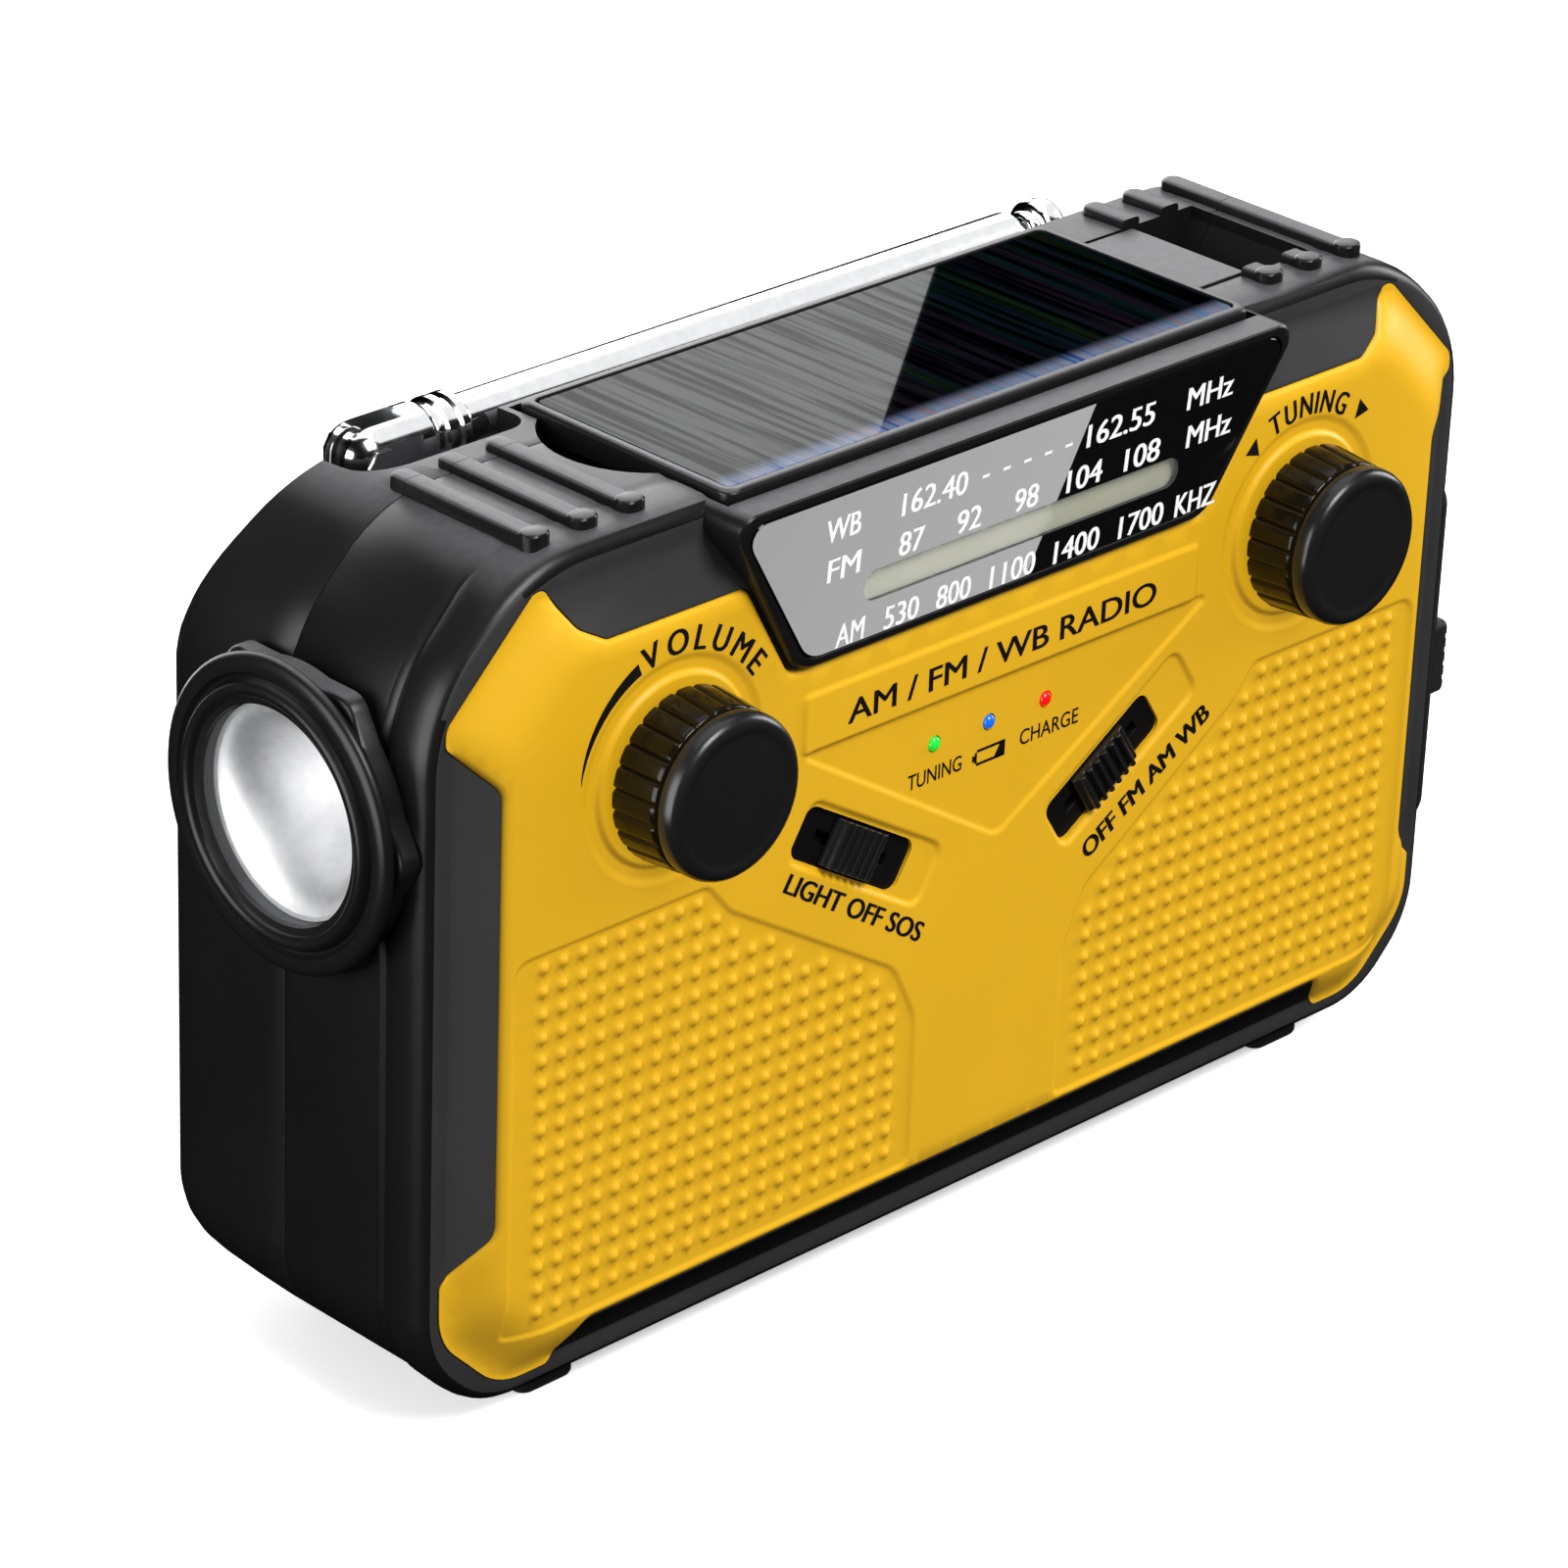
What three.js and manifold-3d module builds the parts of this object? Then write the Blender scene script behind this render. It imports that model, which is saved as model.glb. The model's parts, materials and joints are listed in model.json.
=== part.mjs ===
// A portable emergency radio: rounded eight-sided case in two shells with a printed face panel,
// dial window, two knobs, two slide switches, end flashlight, tilting solar lid, telescopic
// antenna, hand crank with gear train and generator, rubber port cover and battery door.
import * as THREE from "three";
import { mergeVertices } from "three/addons/utils/BufferGeometryUtils.js";
import { ConvexGeometry } from "three/addons/geometries/ConvexGeometry.js";
import Module from "manifold-3d";

const wasm = await Module();
wasm.setup();

// ---------------------------------------------------------------- driving dimensions, mm
// In the layout frame x runs along the radio from its middle, y runs back from the face
// panel's front and z up from the surface under the feet.
const GAP = 0.3; // between parts that touch
const HALF_WIDTH = 79.5;
const BELLY = 3.0; // underside of the case
const TOP = 100.0; // top deck
const DEPTH = 46.5; // back of the rear shell
const WALL = 2.2;
const CORNER_CUT = { top: 13.0, bottom: 8.5 }; // 45 degree corners of the outline
const CORNER_RADIUS = { top: 16.0, bottom: 12.0 };
const PARTING = 25.5; // plane between the front and rear shells
const RIM = { front: 3.3, back: 10.0, bulge: 0.4 }; // the bead round the front edge
const SLOPE = { z: 72, topY: 37.8 }; // the back leans forward above this height
const WEB = { front: 3.9, back: 5.1 }; // inner front wall behind the face panel

const FACE = { halfWidth: 72.2, bottom: 10.7, top: 90.6, thick: 3.3 }; // flat front
const FACE_EDGE = { halfWidth: 77.2, bottom: 5.4, top: 96.4, y: 3.6 }; // where it turns back to

const DIAL = { topHalf: 43.8, bottomHalf: 31.7, top: 99.8, bottom: 78.8, topY: -2.5, bottomY: -0.8 };
const KNOB = { x: 48.6, z: 72.8, skirtR: 9.8, capR: 9.3, skirtFront: -6.9, capFront: -9.7 };
const SHAFT_R = 3.0;
const DRUM_R = 14.4; // dial cord pitch radius
const CORD_Y = 7.3;
const BOARD = { front: 16.0, back: 17.6 };

const LIGHT_SWITCH = { x: -21.2, z: 54.4, angle: -30.8, length: 19.2, width: 6.2 };
const BAND_SWITCH = { x: 18.4, z: 51.6, angle: 32.9, length: 18.4, width: 6.2 };
const SWITCH_OVERLAP = 5.4; // the slider strip's extra length, both ends together
const SWITCH_TRAVEL = 5.0; // each way from the middle

const LAMP = { y: 21.8, z: 70.6, baseX: -80.1, frontX: -84.9, outerR: 17.4, hexR: 18.2, boreR: 12.0 };

const LID = { halfLength: 40.2, front: 1.8, back: 34.3, bottom: 97.6, top: 100.8 };
const HINGE = { x: 46.6, z: 98.0, pinR: 0.9, front: 10.6, back: 27.8, tabEnd: 49.8 };
const HINGE_WELL = { right: 59.4, floor: 91.0 };

const RIB = { width: 3.0, height: 1.0, pitch: 6.6, inner: 47.5, front: 6.3, leftBack: 28.4, rightBack: 35.2 };

const ANTENNA = { y: 39.2, z: 97.6, pivotX: -57.5, knuckleR: 3.9, rodStart: -44.5, rodEnd: 40.5, tipEnd: 47.5 };
const ANTENNA_TUBES = [ // outer and inner radius of each section, outermost first
  [3.0, 2.6],
  [2.3, 1.95],
  [1.65, 1.3],
  [1.0, 0],
];
const POCKET = { left: -63.6, right: -41.5, front: 30.0, floor: 91.5 };
const CHANNEL = { front: 35.6, floor: 93.6 };

const CRANK = { x: 38, z: 50, dishR: 33, dishFloor: 40.2, armLength: 27, armWidth: 15, armThick: 4.6 };
const MODULE = 1.0; // gear tooth module
const GEAR_TEETH = 36;
const PINION_TEETH = 12;
const GEAR_LAYERS = { crank: [34.1, 36.7], generator: [29.9, 32.5] };
const SPEAKER = { x: -38, z: 56, r: 17 };
const CELL = { x0: -66, x1: -1, y: 29.6, z: 18.2, r: 9.1 };
const DOOR = { x0: -69, x1: 0, z0: 8, z1: 28.5, thick: 2.0 };

const COVER = { x0: 80.1, x1: 82.2, front: 5.0, back: 37.0, z0: 22.4, z1: 67.0 };
const COVER_TAB = { x1: 84.1, back: 9.0, z0: 39.0, z1: 48.4 };
const FEET = { x: 59, ys: [9, 37], length: 8, width: 6.5, top: 2.4 };

const ROUND = 24; // sides of a round part
const FINE = 3; // steps in a rounded corner

// ---------------------------------------------------------------- solids
function toSolid(geometry) {
  const bare = geometry.index ? geometry.toNonIndexed() : geometry.clone();
  bare.deleteAttribute("normal");
  bare.deleteAttribute("uv");
  const merged = mergeVertices(bare, 1e-4);
  return new wasm.Manifold(
    new wasm.Mesh({
      numProp: 3,
      vertProperties: new Float32Array(merged.attributes.position.array),
      triVerts: new Uint32Array(merged.index.array),
    }),
  );
}

function toGeometry(solid) {
  const mesh = solid.getMesh();
  const geometry = new THREE.BufferGeometry();
  geometry.setAttribute("position", new THREE.BufferAttribute(new Float32Array(mesh.vertProperties), 3));
  geometry.setIndex(new THREE.BufferAttribute(new Uint32Array(mesh.triVerts), 1));
  geometry.computeVertexNormals();
  return geometry;
}

const join = (first, ...rest) => rest.reduce((sum, g) => sum.add(toSolid(g)), toSolid(first));
const joined = (...geometries) => toGeometry(join(...geometries));
function cut(body, ...tools) {
  let solid = body.isBufferGeometry ? toSolid(body) : body;
  for (const tool of tools) solid = solid.subtract(toSolid(tool));
  return solid;
}
const common = (a, b) => toSolid(a).intersect(toSolid(b));

// ---------------------------------------------------------------- shapes
const degrees = THREE.MathUtils.degToRad;

// A closed outline through the points, with a rounded corner at each.
function roundedOutline(points, radius) {
  const shape = new THREE.Shape();
  const corners = points.map(([x, y]) => new THREE.Vector2(x, y));
  corners.forEach((corner, i) => {
    const before = corners.at(i - 1).clone().sub(corner);
    const after = corners[(i + 1) % corners.length].clone().sub(corner);
    const r = Array.isArray(radius) ? radius[i] : radius;
    const half = Math.abs(before.angleTo(after)) / 2;
    const reach = Math.min(r / Math.tan(half), before.length() * 0.45, after.length() * 0.45);
    const start = corner.clone().addScaledVector(before.normalize(), reach);
    const end = corner.clone().addScaledVector(after.normalize(), reach);
    if (i === 0) shape.moveTo(start.x, start.y);
    else shape.lineTo(start.x, start.y);
    if (r > 0) shape.quadraticCurveTo(corner.x, corner.y, end.x, end.y);
  });
  shape.closePath();
  return shape;
}

// An anticlockwise outline's corners, each edge moved out by a distance.
function grown(points, distance) {
  const normal = ([x0, y0], [x1, y1]) => new THREE.Vector2(y1 - y0, x0 - x1).normalize();
  return points.map((point, i) => {
    const before = normal(points.at(i - 1), point);
    const after = normal(point, points[(i + 1) % points.length]);
    const share = distance / (1 + before.dot(after));
    return [point[0] + (before.x + after.x) * share, point[1] + (before.y + after.y) * share];
  });
}

// The eight corners of the case outline, drawn in by an inset.
function caseCorners(inset) {
  const w = HALF_WIDTH - inset;
  const low = BELLY + inset;
  const high = TOP - inset;
  const shrink = inset * (2 - Math.SQRT2);
  const b = CORNER_CUT.bottom - shrink;
  const t = CORNER_CUT.top - shrink;
  return [
    [-w + b, low], [w - b, low], [w, low + b], [w, high - t],
    [w - t, high], [-w + t, high], [-w, high - t], [-w, low + b],
  ];
}
const caseRadii = [0, 1, 2, 3, 4, 5, 6, 7].map((i) => (i > 2 && i < 7 ? CORNER_RADIUS.top : CORNER_RADIUS.bottom));
const caseOutline = (inset = 0) => roundedOutline(caseCorners(inset), caseRadii);
const outlineAt = (inset, y) => caseOutline(inset).getPoints(FINE).map((p) => new THREE.Vector3(p.x, y, p.y));

const mirrorPoints = (right) => [...right, ...right.toReversed().map(([x, z]) => [-x, z])];

function extrude(shape, depth) {
  return new THREE.ExtrudeGeometry(shape, { depth, bevelEnabled: false, curveSegments: FINE });
}
// A shape drawn in x and z, made solid from y0 back to y1.
function alongY(shape, y0, y1) {
  return extrude(shape, y1 - y0).rotateX(Math.PI / 2).translate(0, y1, 0);
}
// A shape drawn in y and z, made solid from x0 to x1.
function alongX(shape, x0, x1) {
  const basis = new THREE.Matrix4().makeBasis(
    new THREE.Vector3(0, 1, 0), new THREE.Vector3(0, 0, 1), new THREE.Vector3(1, 0, 0));
  return extrude(shape, x1 - x0).applyMatrix4(basis).translate(x0, 0, 0);
}
function block([x0, x1], [y0, y1], [z0, z1]) {
  return new THREE.BoxGeometry(x1 - x0, y1 - y0, z1 - z0)
    .translate((x0 + x1) / 2, (y0 + y1) / 2, (z0 + z1) / 2);
}
// Round bar about the y, x or z axis.
const barY = (r, y0, y1, sides = ROUND, rBack = r) =>
  new THREE.CylinderGeometry(rBack, r, y1 - y0, sides).translate(0, (y0 + y1) / 2, 0);
const barX = (r, x0, x1, sides = ROUND) =>
  new THREE.CylinderGeometry(r, r, x1 - x0, sides).rotateZ(-Math.PI / 2).translate((x0 + x1) / 2, 0, 0);
const barZ = (r, z0, z1, sides = ROUND) =>
  new THREE.CylinderGeometry(r, r, z1 - z0, sides).rotateX(Math.PI / 2).translate(0, 0, (z0 + z1) / 2);
// A turned part: points are [radius, distance along the axis], in either direction.
function turned(points, sides = ROUND) {
  const profile = points.map(([r, t]) => new THREE.Vector2(r, t));
  if (THREE.ShapeUtils.area(profile) < 0) profile.reverse();
  return new THREE.LatheGeometry(profile, sides);
}
// A ring's profile closes on itself.
const ring = (points, sides) => turned([...points, points[0]], sides);
// The octagonal block whose front is the flat of the face and whose back is its turned edge.
function taperedFace(yFront, yBack, grow = 0) {
  const octagon = (halfWidth, bottom, top, b, t, y) => [
    [halfWidth - b, bottom], [halfWidth, bottom + b], [halfWidth, top - t], [halfWidth - t, top],
  ].flatMap(([x, z]) => [new THREE.Vector3(x, y, z), new THREE.Vector3(-x, y, z)]);
  return new ConvexGeometry([
    ...octagon(FACE.halfWidth + grow, FACE.bottom - grow, FACE.top + grow, 7, 9.5, yFront),
    ...octagon(FACE_EDGE.halfWidth + grow, FACE_EDGE.bottom - grow, FACE_EDGE.top + grow, 8.5, 11.5, yBack),
  ]);
}

// ---------------------------------------------------------------- materials
const paint = (color, roughness, metalness = 0) =>
  new THREE.MeshStandardMaterial({ color, roughness, metalness });
const BLACK = paint(0x1b1b1c, 0.42);
const YELLOW = paint(0xe0ac22, 0.5);
const SMOKE = paint(0x241f14, 0.2);
const CHROME = paint(0xd8dade, 0.08, 1);
const STEEL = paint(0x9a9ca0, 0.35, 1);
const RUBBER = paint(0x161617, 0.8);
const NYLON = paint(0xdedad0, 0.5);
const BOARD_GREEN = paint(0x1f5a34, 0.5);
const OLIVE = paint(0x9c9c82, 0.6);
const COPPER = paint(0xb0713a, 0.35, 1);
const SILICON = paint(0x0c0f14, 0.15);
const CLEAR = paint(0xeef2f4, 0.05);
const MIRROR = paint(0xf2f3f4, 0.05, 1);

const radio = new THREE.Group();
const layout = new THREE.Group(); // holds everything in the layout frame
radio.add(layout);

function add(name, shape, material, [x, y, z] = [0, 0, 0], parent = layout) {
  const geometry = shape.isBufferGeometry ? shape : toGeometry(shape);
  const mesh = new THREE.Mesh(geometry, material);
  mesh.name = name;
  mesh.position.set(x, y, z);
  parent.add(mesh);
  return mesh;
}

// ---------------------------------------------------------------- case and face
// Right half of the face panel's outline, from the bottom middle to the dial window.
const faceRight = [
  [58.7, FACE.bottom], [61.8, 5.2], [FACE_EDGE.halfWidth - 8.3, 5.2], [FACE_EDGE.halfWidth + 0.2, 13.7],
  [FACE_EDGE.halfWidth + 0.2, 20.4], [72.0, 25.8], [72.0, 77.4], [FACE_EDGE.halfWidth + 0.2, 83.0],
  [FACE_EDGE.halfWidth + 0.2, 85.0], [FACE_EDGE.halfWidth - 11.4, 96.6], [64.4, 96.6], [61.4, 92.0],
  [58.0, 90.2], [38.6, 90.2], [DIAL.bottomHalf + GAP, DIAL.bottom - GAP],
];
const faceRadii = [1.5, 1.2, 7, 7, 1, 2.5, 2.5, 1, 9, 5, 0.8, 1.5, 1.5, 1.5, 2];
const faceOutline = (grow = 0) =>
  roundedOutline(grown(mirrorPoints(faceRight), grow), [...faceRadii, ...faceRadii.toReversed()]);

const dialCorners = (inset) => [
  [-DIAL.bottomHalf + inset, DIAL.bottom + inset], [DIAL.bottomHalf - inset, DIAL.bottom + inset],
  [DIAL.topHalf - inset * 1.3, DIAL.top - inset], [-DIAL.topHalf + inset * 1.3, DIAL.top - inset],
];
const dialOutline = (inset) => roundedOutline(dialCorners(inset), [4, 4, 2, 2]);
// The window leans a little forward at its top: a slab of it between two depths from its front.
function dialSlab(inset, near, far, square = false) {
  const lean = (DIAL.topY - DIAL.bottomY) / (DIAL.top - DIAL.bottom);
  const points = dialOutline(inset).getPoints(FINE);
  const front = points.map(({ x, y: z }) => DIAL.bottomY + (z - DIAL.bottom) * lean);
  return new ConvexGeometry(points.flatMap(({ x, y: z }, i) => [
    new THREE.Vector3(x, front[i] + near, z), new THREE.Vector3(x, square ? far : front[i] + far, z)]));
}

// A long rounded opening turned to a switch's angle.
function switchOutline(s, addLength = 0, addWidth = 0, radius = 1.2) {
  const l = (s.length + addLength) / 2;
  const w = (s.width + addWidth) / 2;
  const turn = degrees(s.angle);
  const corners = [[-l, -w], [l, -w], [l, w], [-l, w]].map(([a, b]) => [
    s.x + a * Math.cos(turn) - b * Math.sin(turn),
    s.z + a * Math.sin(turn) + b * Math.cos(turn),
  ]);
  return roundedOutline(corners, radius);
}
const SWITCHES = [LIGHT_SWITCH, BAND_SWITCH];
const stripRoom = SWITCH_OVERLAP + 2 * (SWITCH_TRAVEL + GAP);
const LEDS = [["tuning", -9.2], ["battery", -0.7], ["charge", 8.2]];
const LED_Z = 63.2;
const LED_R = 0.9;
const SIDES = [-1, 1];

function ribs(y0, y1) {
  return SIDES.flatMap((side) => [0, 1, 2].map((i) => {
    const near = RIB.inner + i * RIB.pitch;
    const back = Math.min(y1, side < 0 ? RIB.leftBack : RIB.rightBack);
    const x = [side * near, side * (near + RIB.width)].sort((a, b) => a - b);
    return block(x, [Math.max(y0, RIB.front), back], [TOP - 0.5, TOP + RIB.height]);
  }));
}
const lidBed = block([-LID.halfLength - 0.5, LID.halfLength + 0.5], [LID.front - 0.5, LID.back + 0.5],
  [LID.bottom - GAP, TOP + 5]);
const hingeWell = block([LID.halfLength - 1.5, HINGE_WELL.right], [HINGE.front - 0.5, HINGE.back + 0.5],
  [HINGE_WELL.floor, TOP + 5]);
// A crescent for the fingertip that lifts the lid.
const fingerNotch = barZ(11.5, 94.6, TOP + 5, 20).translate(-LID.halfLength + 6.3, 21, 0);
const lampBore = barX(13.6, -90, -70, ROUND).translate(0, LAMP.y, LAMP.z);

// The bead is a rounded band that stands out a little from the case.
function beadHull() {
  const middle = (RIM.front + RIM.back) / 2;
  return new ConvexGeometry([
    ...outlineAt(0.5, RIM.front), ...outlineAt(-RIM.bulge * 0.8, RIM.front + 1.5),
    ...outlineAt(-RIM.bulge, middle), ...outlineAt(-RIM.bulge * 0.7, RIM.back - 1.5), ...outlineAt(0, RIM.back)]);
}

function frontShell() {
  const back = PARTING - 0.15;
  let solid = join(
    alongY(caseOutline(), RIM.front + 0.4, back),
    beadHull(),
    taperedFace(0.5, WEB.front, 0.25),
    dialSlab(0, 0.2, WEB.back, true),
    ...ribs(0, back),
  );
  const cavity = alongY(caseOutline(WALL), WEB.back, back + 1);
  solid = cut(solid, cavity, alongY(faceOutline(GAP), -5, WEB.front));
  // Keep the roof under the lid, the hinge well and the finger notch closed.
  const roof = common(
    block([-48, HINGE_WELL.right + WALL], [WEB.back - 1, back], [HINGE_WELL.floor - WALL, TOP - 1]),
    alongY(caseOutline(0.5), 0, back));
  solid = solid.add(roof);
  solid = solid.add(toSolid(dialSlab(0, 0.2, WEB.back, true)));
  return cut(solid, lidBed, hingeWell, fingerNotch, lampBore,
    block([-44, 40], [WEB.back, back + 1], [80, LID.bottom - GAP - WALL]), // room under the lid bed
    alongY(dialOutline(3.0), -5, 12), // window to the scale
    dialSlab(0.9, -1, 1.4), // seat of the lens
    ...SIDES.map((side) => barY(SHAFT_R + 0.6, 0, 10).translate(side * KNOB.x, 0, KNOB.z)),
    ...SWITCHES.map((s) => alongY(switchOutline(s, 8, 3), 3, 6)),
    ...LEDS.map(([, x]) => barY(LED_R + GAP, 3, 6, 10).translate(x, 0, LED_Z)),
    block([70, 90], [12.7, 20.3], [44.7, 59.8]), // large socket
    block([70, 90], [14.2, 18.9], [30.4, 40.6])); // small socket
}
add("front_shell", frontShell(), BLACK);

function rearShell() {
  const start = PARTING + 0.15;
  const hull = new ConvexGeometry([
    ...outlineAt(0, start), ...outlineAt(0.4, DEPTH - 7), ...outlineAt(1.6, DEPTH - 2.2), ...outlineAt(5, DEPTH)]);
  let solid = common(hull, behindSlope(0));
  for (const rib of ribs(start, DEPTH)) solid = solid.add(toSolid(rib));
  const cavity = toGeometry(common(new ConvexGeometry([
    ...outlineAt(WALL, start - 1), ...outlineAt(WALL + 1, DEPTH - 7), ...outlineAt(7, DEPTH - WALL)]),
    behindSlope(WALL)));
  const wells = common(
    joined(
      block([POCKET.left - WALL, HALF_WIDTH], [POCKET.front - WALL, DEPTH], [POCKET.floor - WALL, TOP - 1]),
      block([-48, HINGE_WELL.right + WALL], [start, LID.back + 3], [HINGE_WELL.floor - WALL, TOP - 1])),
    alongY(caseOutline(2.4), 0, DEPTH - 1));
  const cup = common(behindSlope(0.3),
    barY(CRANK.dishR + WALL, CRANK.dishFloor - WALL, DEPTH - 1, 32).translate(CRANK.x, 0, CRANK.z));
  solid = cut(solid, cavity).add(wells.intersect(toSolid(behindSlope(0.3)))).add(cup);
  const grille = [-12, -8, -4, 0, 4, 8, 12].map((dz) => {
    const half = Math.sqrt(14.5 ** 2 - dz ** 2);
    return block([SPEAKER.x - half, SPEAKER.x + half], [DEPTH - 5, DEPTH + 2], [SPEAKER.z + dz - 0.8, SPEAKER.z + dz + 0.8]);
  });
  return cut(solid, lidBed, hingeWell, fingerNotch, lampBore,
    barY(CRANK.dishR, CRANK.dishFloor, DEPTH + 5, 32).translate(CRANK.x, 0, CRANK.z),
    barY(4.3, 20, DEPTH, 16).translate(CRANK.x, 0, CRANK.z),
    block([POCKET.left, POCKET.right], [POCKET.front, DEPTH + 5], [POCKET.floor, TOP + 5]),
    block([POCKET.right - 1, HALF_WIDTH + 5], [CHANNEL.front, DEPTH + 5], [CHANNEL.floor, TOP + 5]),
    block([DOOR.x0 - GAP, DOOR.x1 + GAP], [DEPTH - DOOR.thick - GAP, DEPTH + 5], [DOOR.z0 - GAP, DOOR.z1 + GAP]),
    block([CELL.x0 - 1, CELL.x1 + 0.5], [DEPTH - 8, DEPTH], [DOOR.z0 + 1.6, DOOR.z1 - 1.2]),
    ...screwSpots.map(([x, z]) => barY(2.3, DEPTH - 1.2, DEPTH + 2, 12).translate(x, 0, z)),
    ...grille);
}
// Everything in front of the leaning upper back.
function behindSlope(inset) {
  const shape = roundedOutline([[0, 0], [DEPTH + 1 - inset, 0], [DEPTH + 1 - inset, SLOPE.z], [SLOPE.topY - inset, TOP],
    [SLOPE.topY - inset - 2, TOP + 10], [0, TOP + 10]], 3);
  return alongX(shape, -HALF_WIDTH - 5, HALF_WIDTH + 5);
}
const screwSpots = [[-69, 34], [-69, 67], [70.5, 70], [69, 15]];
add("rear_shell", rearShell(), BLACK);

function facePanel() {
  const plate = common(taperedFace(0, FACE_EDGE.y), alongY(faceOutline(), -1, FACE.thick));
  const bosses = SIDES.map((side) => barY(10.7, -0.6, 1).translate(side * KNOB.x, 0, KNOB.z));
  let solid = plate;
  for (const boss of bosses) solid = solid.add(toSolid(boss));
  return cut(solid,
    ...SIDES.map((side) => barY(SHAFT_R + 0.8, -2, 5).translate(side * KNOB.x, 0, KNOB.z)),
    ...SWITCHES.map((s) => alongY(switchOutline(s), -2, 5)),
    ...SWITCHES.map((s) => alongY(switchOutline(s, stripRoom, 2.4), 1.6, 5)), // where the slider strip runs
    ...LEDS.map(([, x]) => barY(LED_R + GAP, -2, 5, 10).translate(x, 0, LED_Z)));
}
add("face_panel", facePanel(), YELLOW);

// ---------------------------------------------------------------- dial
add("dial_lens", dialSlab(1.2, 0, 1.1), SILICON);
add("dial_plate", block([-29, 29], [2.7, 3.5], [82.8, 91.8]), OLIVE);
const POINTER_START = -25.3;
function dialPointer() {
  const half = 0.5;
  return joined(
    block([-half, half], [1.0, 1.7], [83.6, 94.4]),
    block([-half, half], [1.0, 6.2], [93.4, 94.4]),
    block([-half, half], [5.4, 6.2], [86.4, 94.4]),
    block([-3, 3], [5.4, 6.2], [86.0, 88.0]));
}
add("dial_pointer", dialPointer(), paint(0xd2231c, 0.4), [POINTER_START, 0, 0]);
// The dial cord leaves the drum at its top, turns round a post at the left and comes back under it.
const cordPath = new THREE.CatmullRomCurve3([
  [49.5, 86.8], [40, 86.8], [20, 86.8], [0, 86.8], [-20, 86.8], [-26, 86.8], [-28, 86.2], [-28.8, 84.8],
  [-28.1, 83.3], [-26, 82.5], [-8.4, 76.7], [9.2, 70.9], [26.8, 65.1], [44.4, 59.3],
].map(([x, z]) => new THREE.Vector3(x, CORD_Y, z)), false, "catmullrom", 0.1);
function roundSection(r, sides) {
  const shape = new THREE.Shape();
  shape.absarc(0, 0, r, 0, Math.PI * 2);
  return new THREE.Shape(shape.getPoints(sides / 4).slice(0, -1));
}
add("dial_cord", new THREE.ExtrudeGeometry(roundSection(0.35, 8), { steps: 30, extrudePath: cordPath }), NYLON);

for (const [name, x] of LEDS) add("led_" + name, barY(LED_R, -0.2, BOARD.front - GAP, 10), CLEAR, [x, 0, LED_Z]);

// ---------------------------------------------------------------- knobs
function knob(side, name, shaft) {
  const place = [side * KNOB.x, 0, KNOB.z];
  const skirt = ring([[SHAFT_R + 0.1, -0.9], [KNOB.skirtR, -0.9], [KNOB.capR, KNOB.skirtFront],
    [SHAFT_R + 0.1, KNOB.skirtFront]]);
  add(name + "_knob", skirt, SMOKE, place);
  const cap = turned([[0, KNOB.capFront], [KNOB.capR - 1.3, KNOB.capFront], [KNOB.capR - 0.3, KNOB.capFront + 0.5],
    [KNOB.capR, KNOB.capFront + 1.5], [KNOB.capR, KNOB.skirtFront - GAP], [0, KNOB.skirtFront - GAP]]);
  add(name + "_knob_cap", cap, BLACK, place);
  add(name + "_shaft", shaft, STEEL, place);
}
knob(-1, "volume", barY(SHAFT_R, KNOB.skirtFront, 7.6, 16));
// The tuning shaft carries the grooved drum that pulls the dial cord.
knob(1, "tuning", joined(
  barY(SHAFT_R, KNOB.skirtFront, 7.0, 16),
  barY(DRUM_R - 0.9, 5.9, 8.7),
  barY(DRUM_R + 0.9, 5.5, 6.3),
  barY(DRUM_R + 0.9, 8.3, 9.1)));
add("volume_pot", joined(barY(8, 8.0, BOARD.front - GAP, 16), block([-8, 8], [12, BOARD.front - GAP], [-12, -6])),
  STEEL, [-KNOB.x, 0, KNOB.z]);
add("tuning_capacitor", block([-10, 10], [9.5, BOARD.front - GAP], [-10, 10]), NYLON, [KNOB.x, 0, KNOB.z]);

// ---------------------------------------------------------------- slide switches
function slideSwitch(name, s) {
  const holder = new THREE.Group();
  holder.position.set(s.x, 0, s.z);
  holder.rotation.y = -degrees(s.angle);
  layout.add(holder);
  const half = s.width / 2;
  const strip = (s.length + SWITCH_OVERLAP) / 2;
  const pad = 3.7;
  const ridges = [-3.2, -1.9, -0.6, 0.7, 2.0].map((x) => block([x, x + 0.8], [-1.0, 2], [-half + 0.5, half - 0.5]));
  const slider = joined(
    block([-strip, strip], [1.9, 2.9], [-half - 0.7, half + 0.7]),
    block([-pad, pad], [-0.4, 2.5], [-half + 0.4, half - 0.4]),
    block([-2, 2], [2.5, 7.0], [-1.5, 1.5]),
    ...ridges);
  add(name + "_slider", slider, BLACK, [0, 0, 0], holder);
  const body = cut(block([-8, 8], [7.4, BOARD.front - GAP], [-3.5, 3.5]));
  add(name + "_body", body, STEEL, [0, 0, 0], holder);
}
slideSwitch("light_switch", LIGHT_SWITCH);
slideSwitch("band_switch", BAND_SWITCH);

// ---------------------------------------------------------------- electronics
add("main_board", cut(
  block([-61, 62], [BOARD.front, BOARD.back], [26, 86]),
  block([-70, -40], [BOARD.front - 1, BOARD.back + 1], [78, 90])), BOARD_GREEN);
add("battery_cell", barX(CELL.r, CELL.x0, CELL.x1, 16), paint(0x3d6fa8, 0.4), [0, CELL.y, CELL.z]);
add("battery_door", block([DOOR.x0, DOOR.x1], [DEPTH - DOOR.thick, DEPTH], [DOOR.z0, DOOR.z1]), BLACK);

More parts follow.
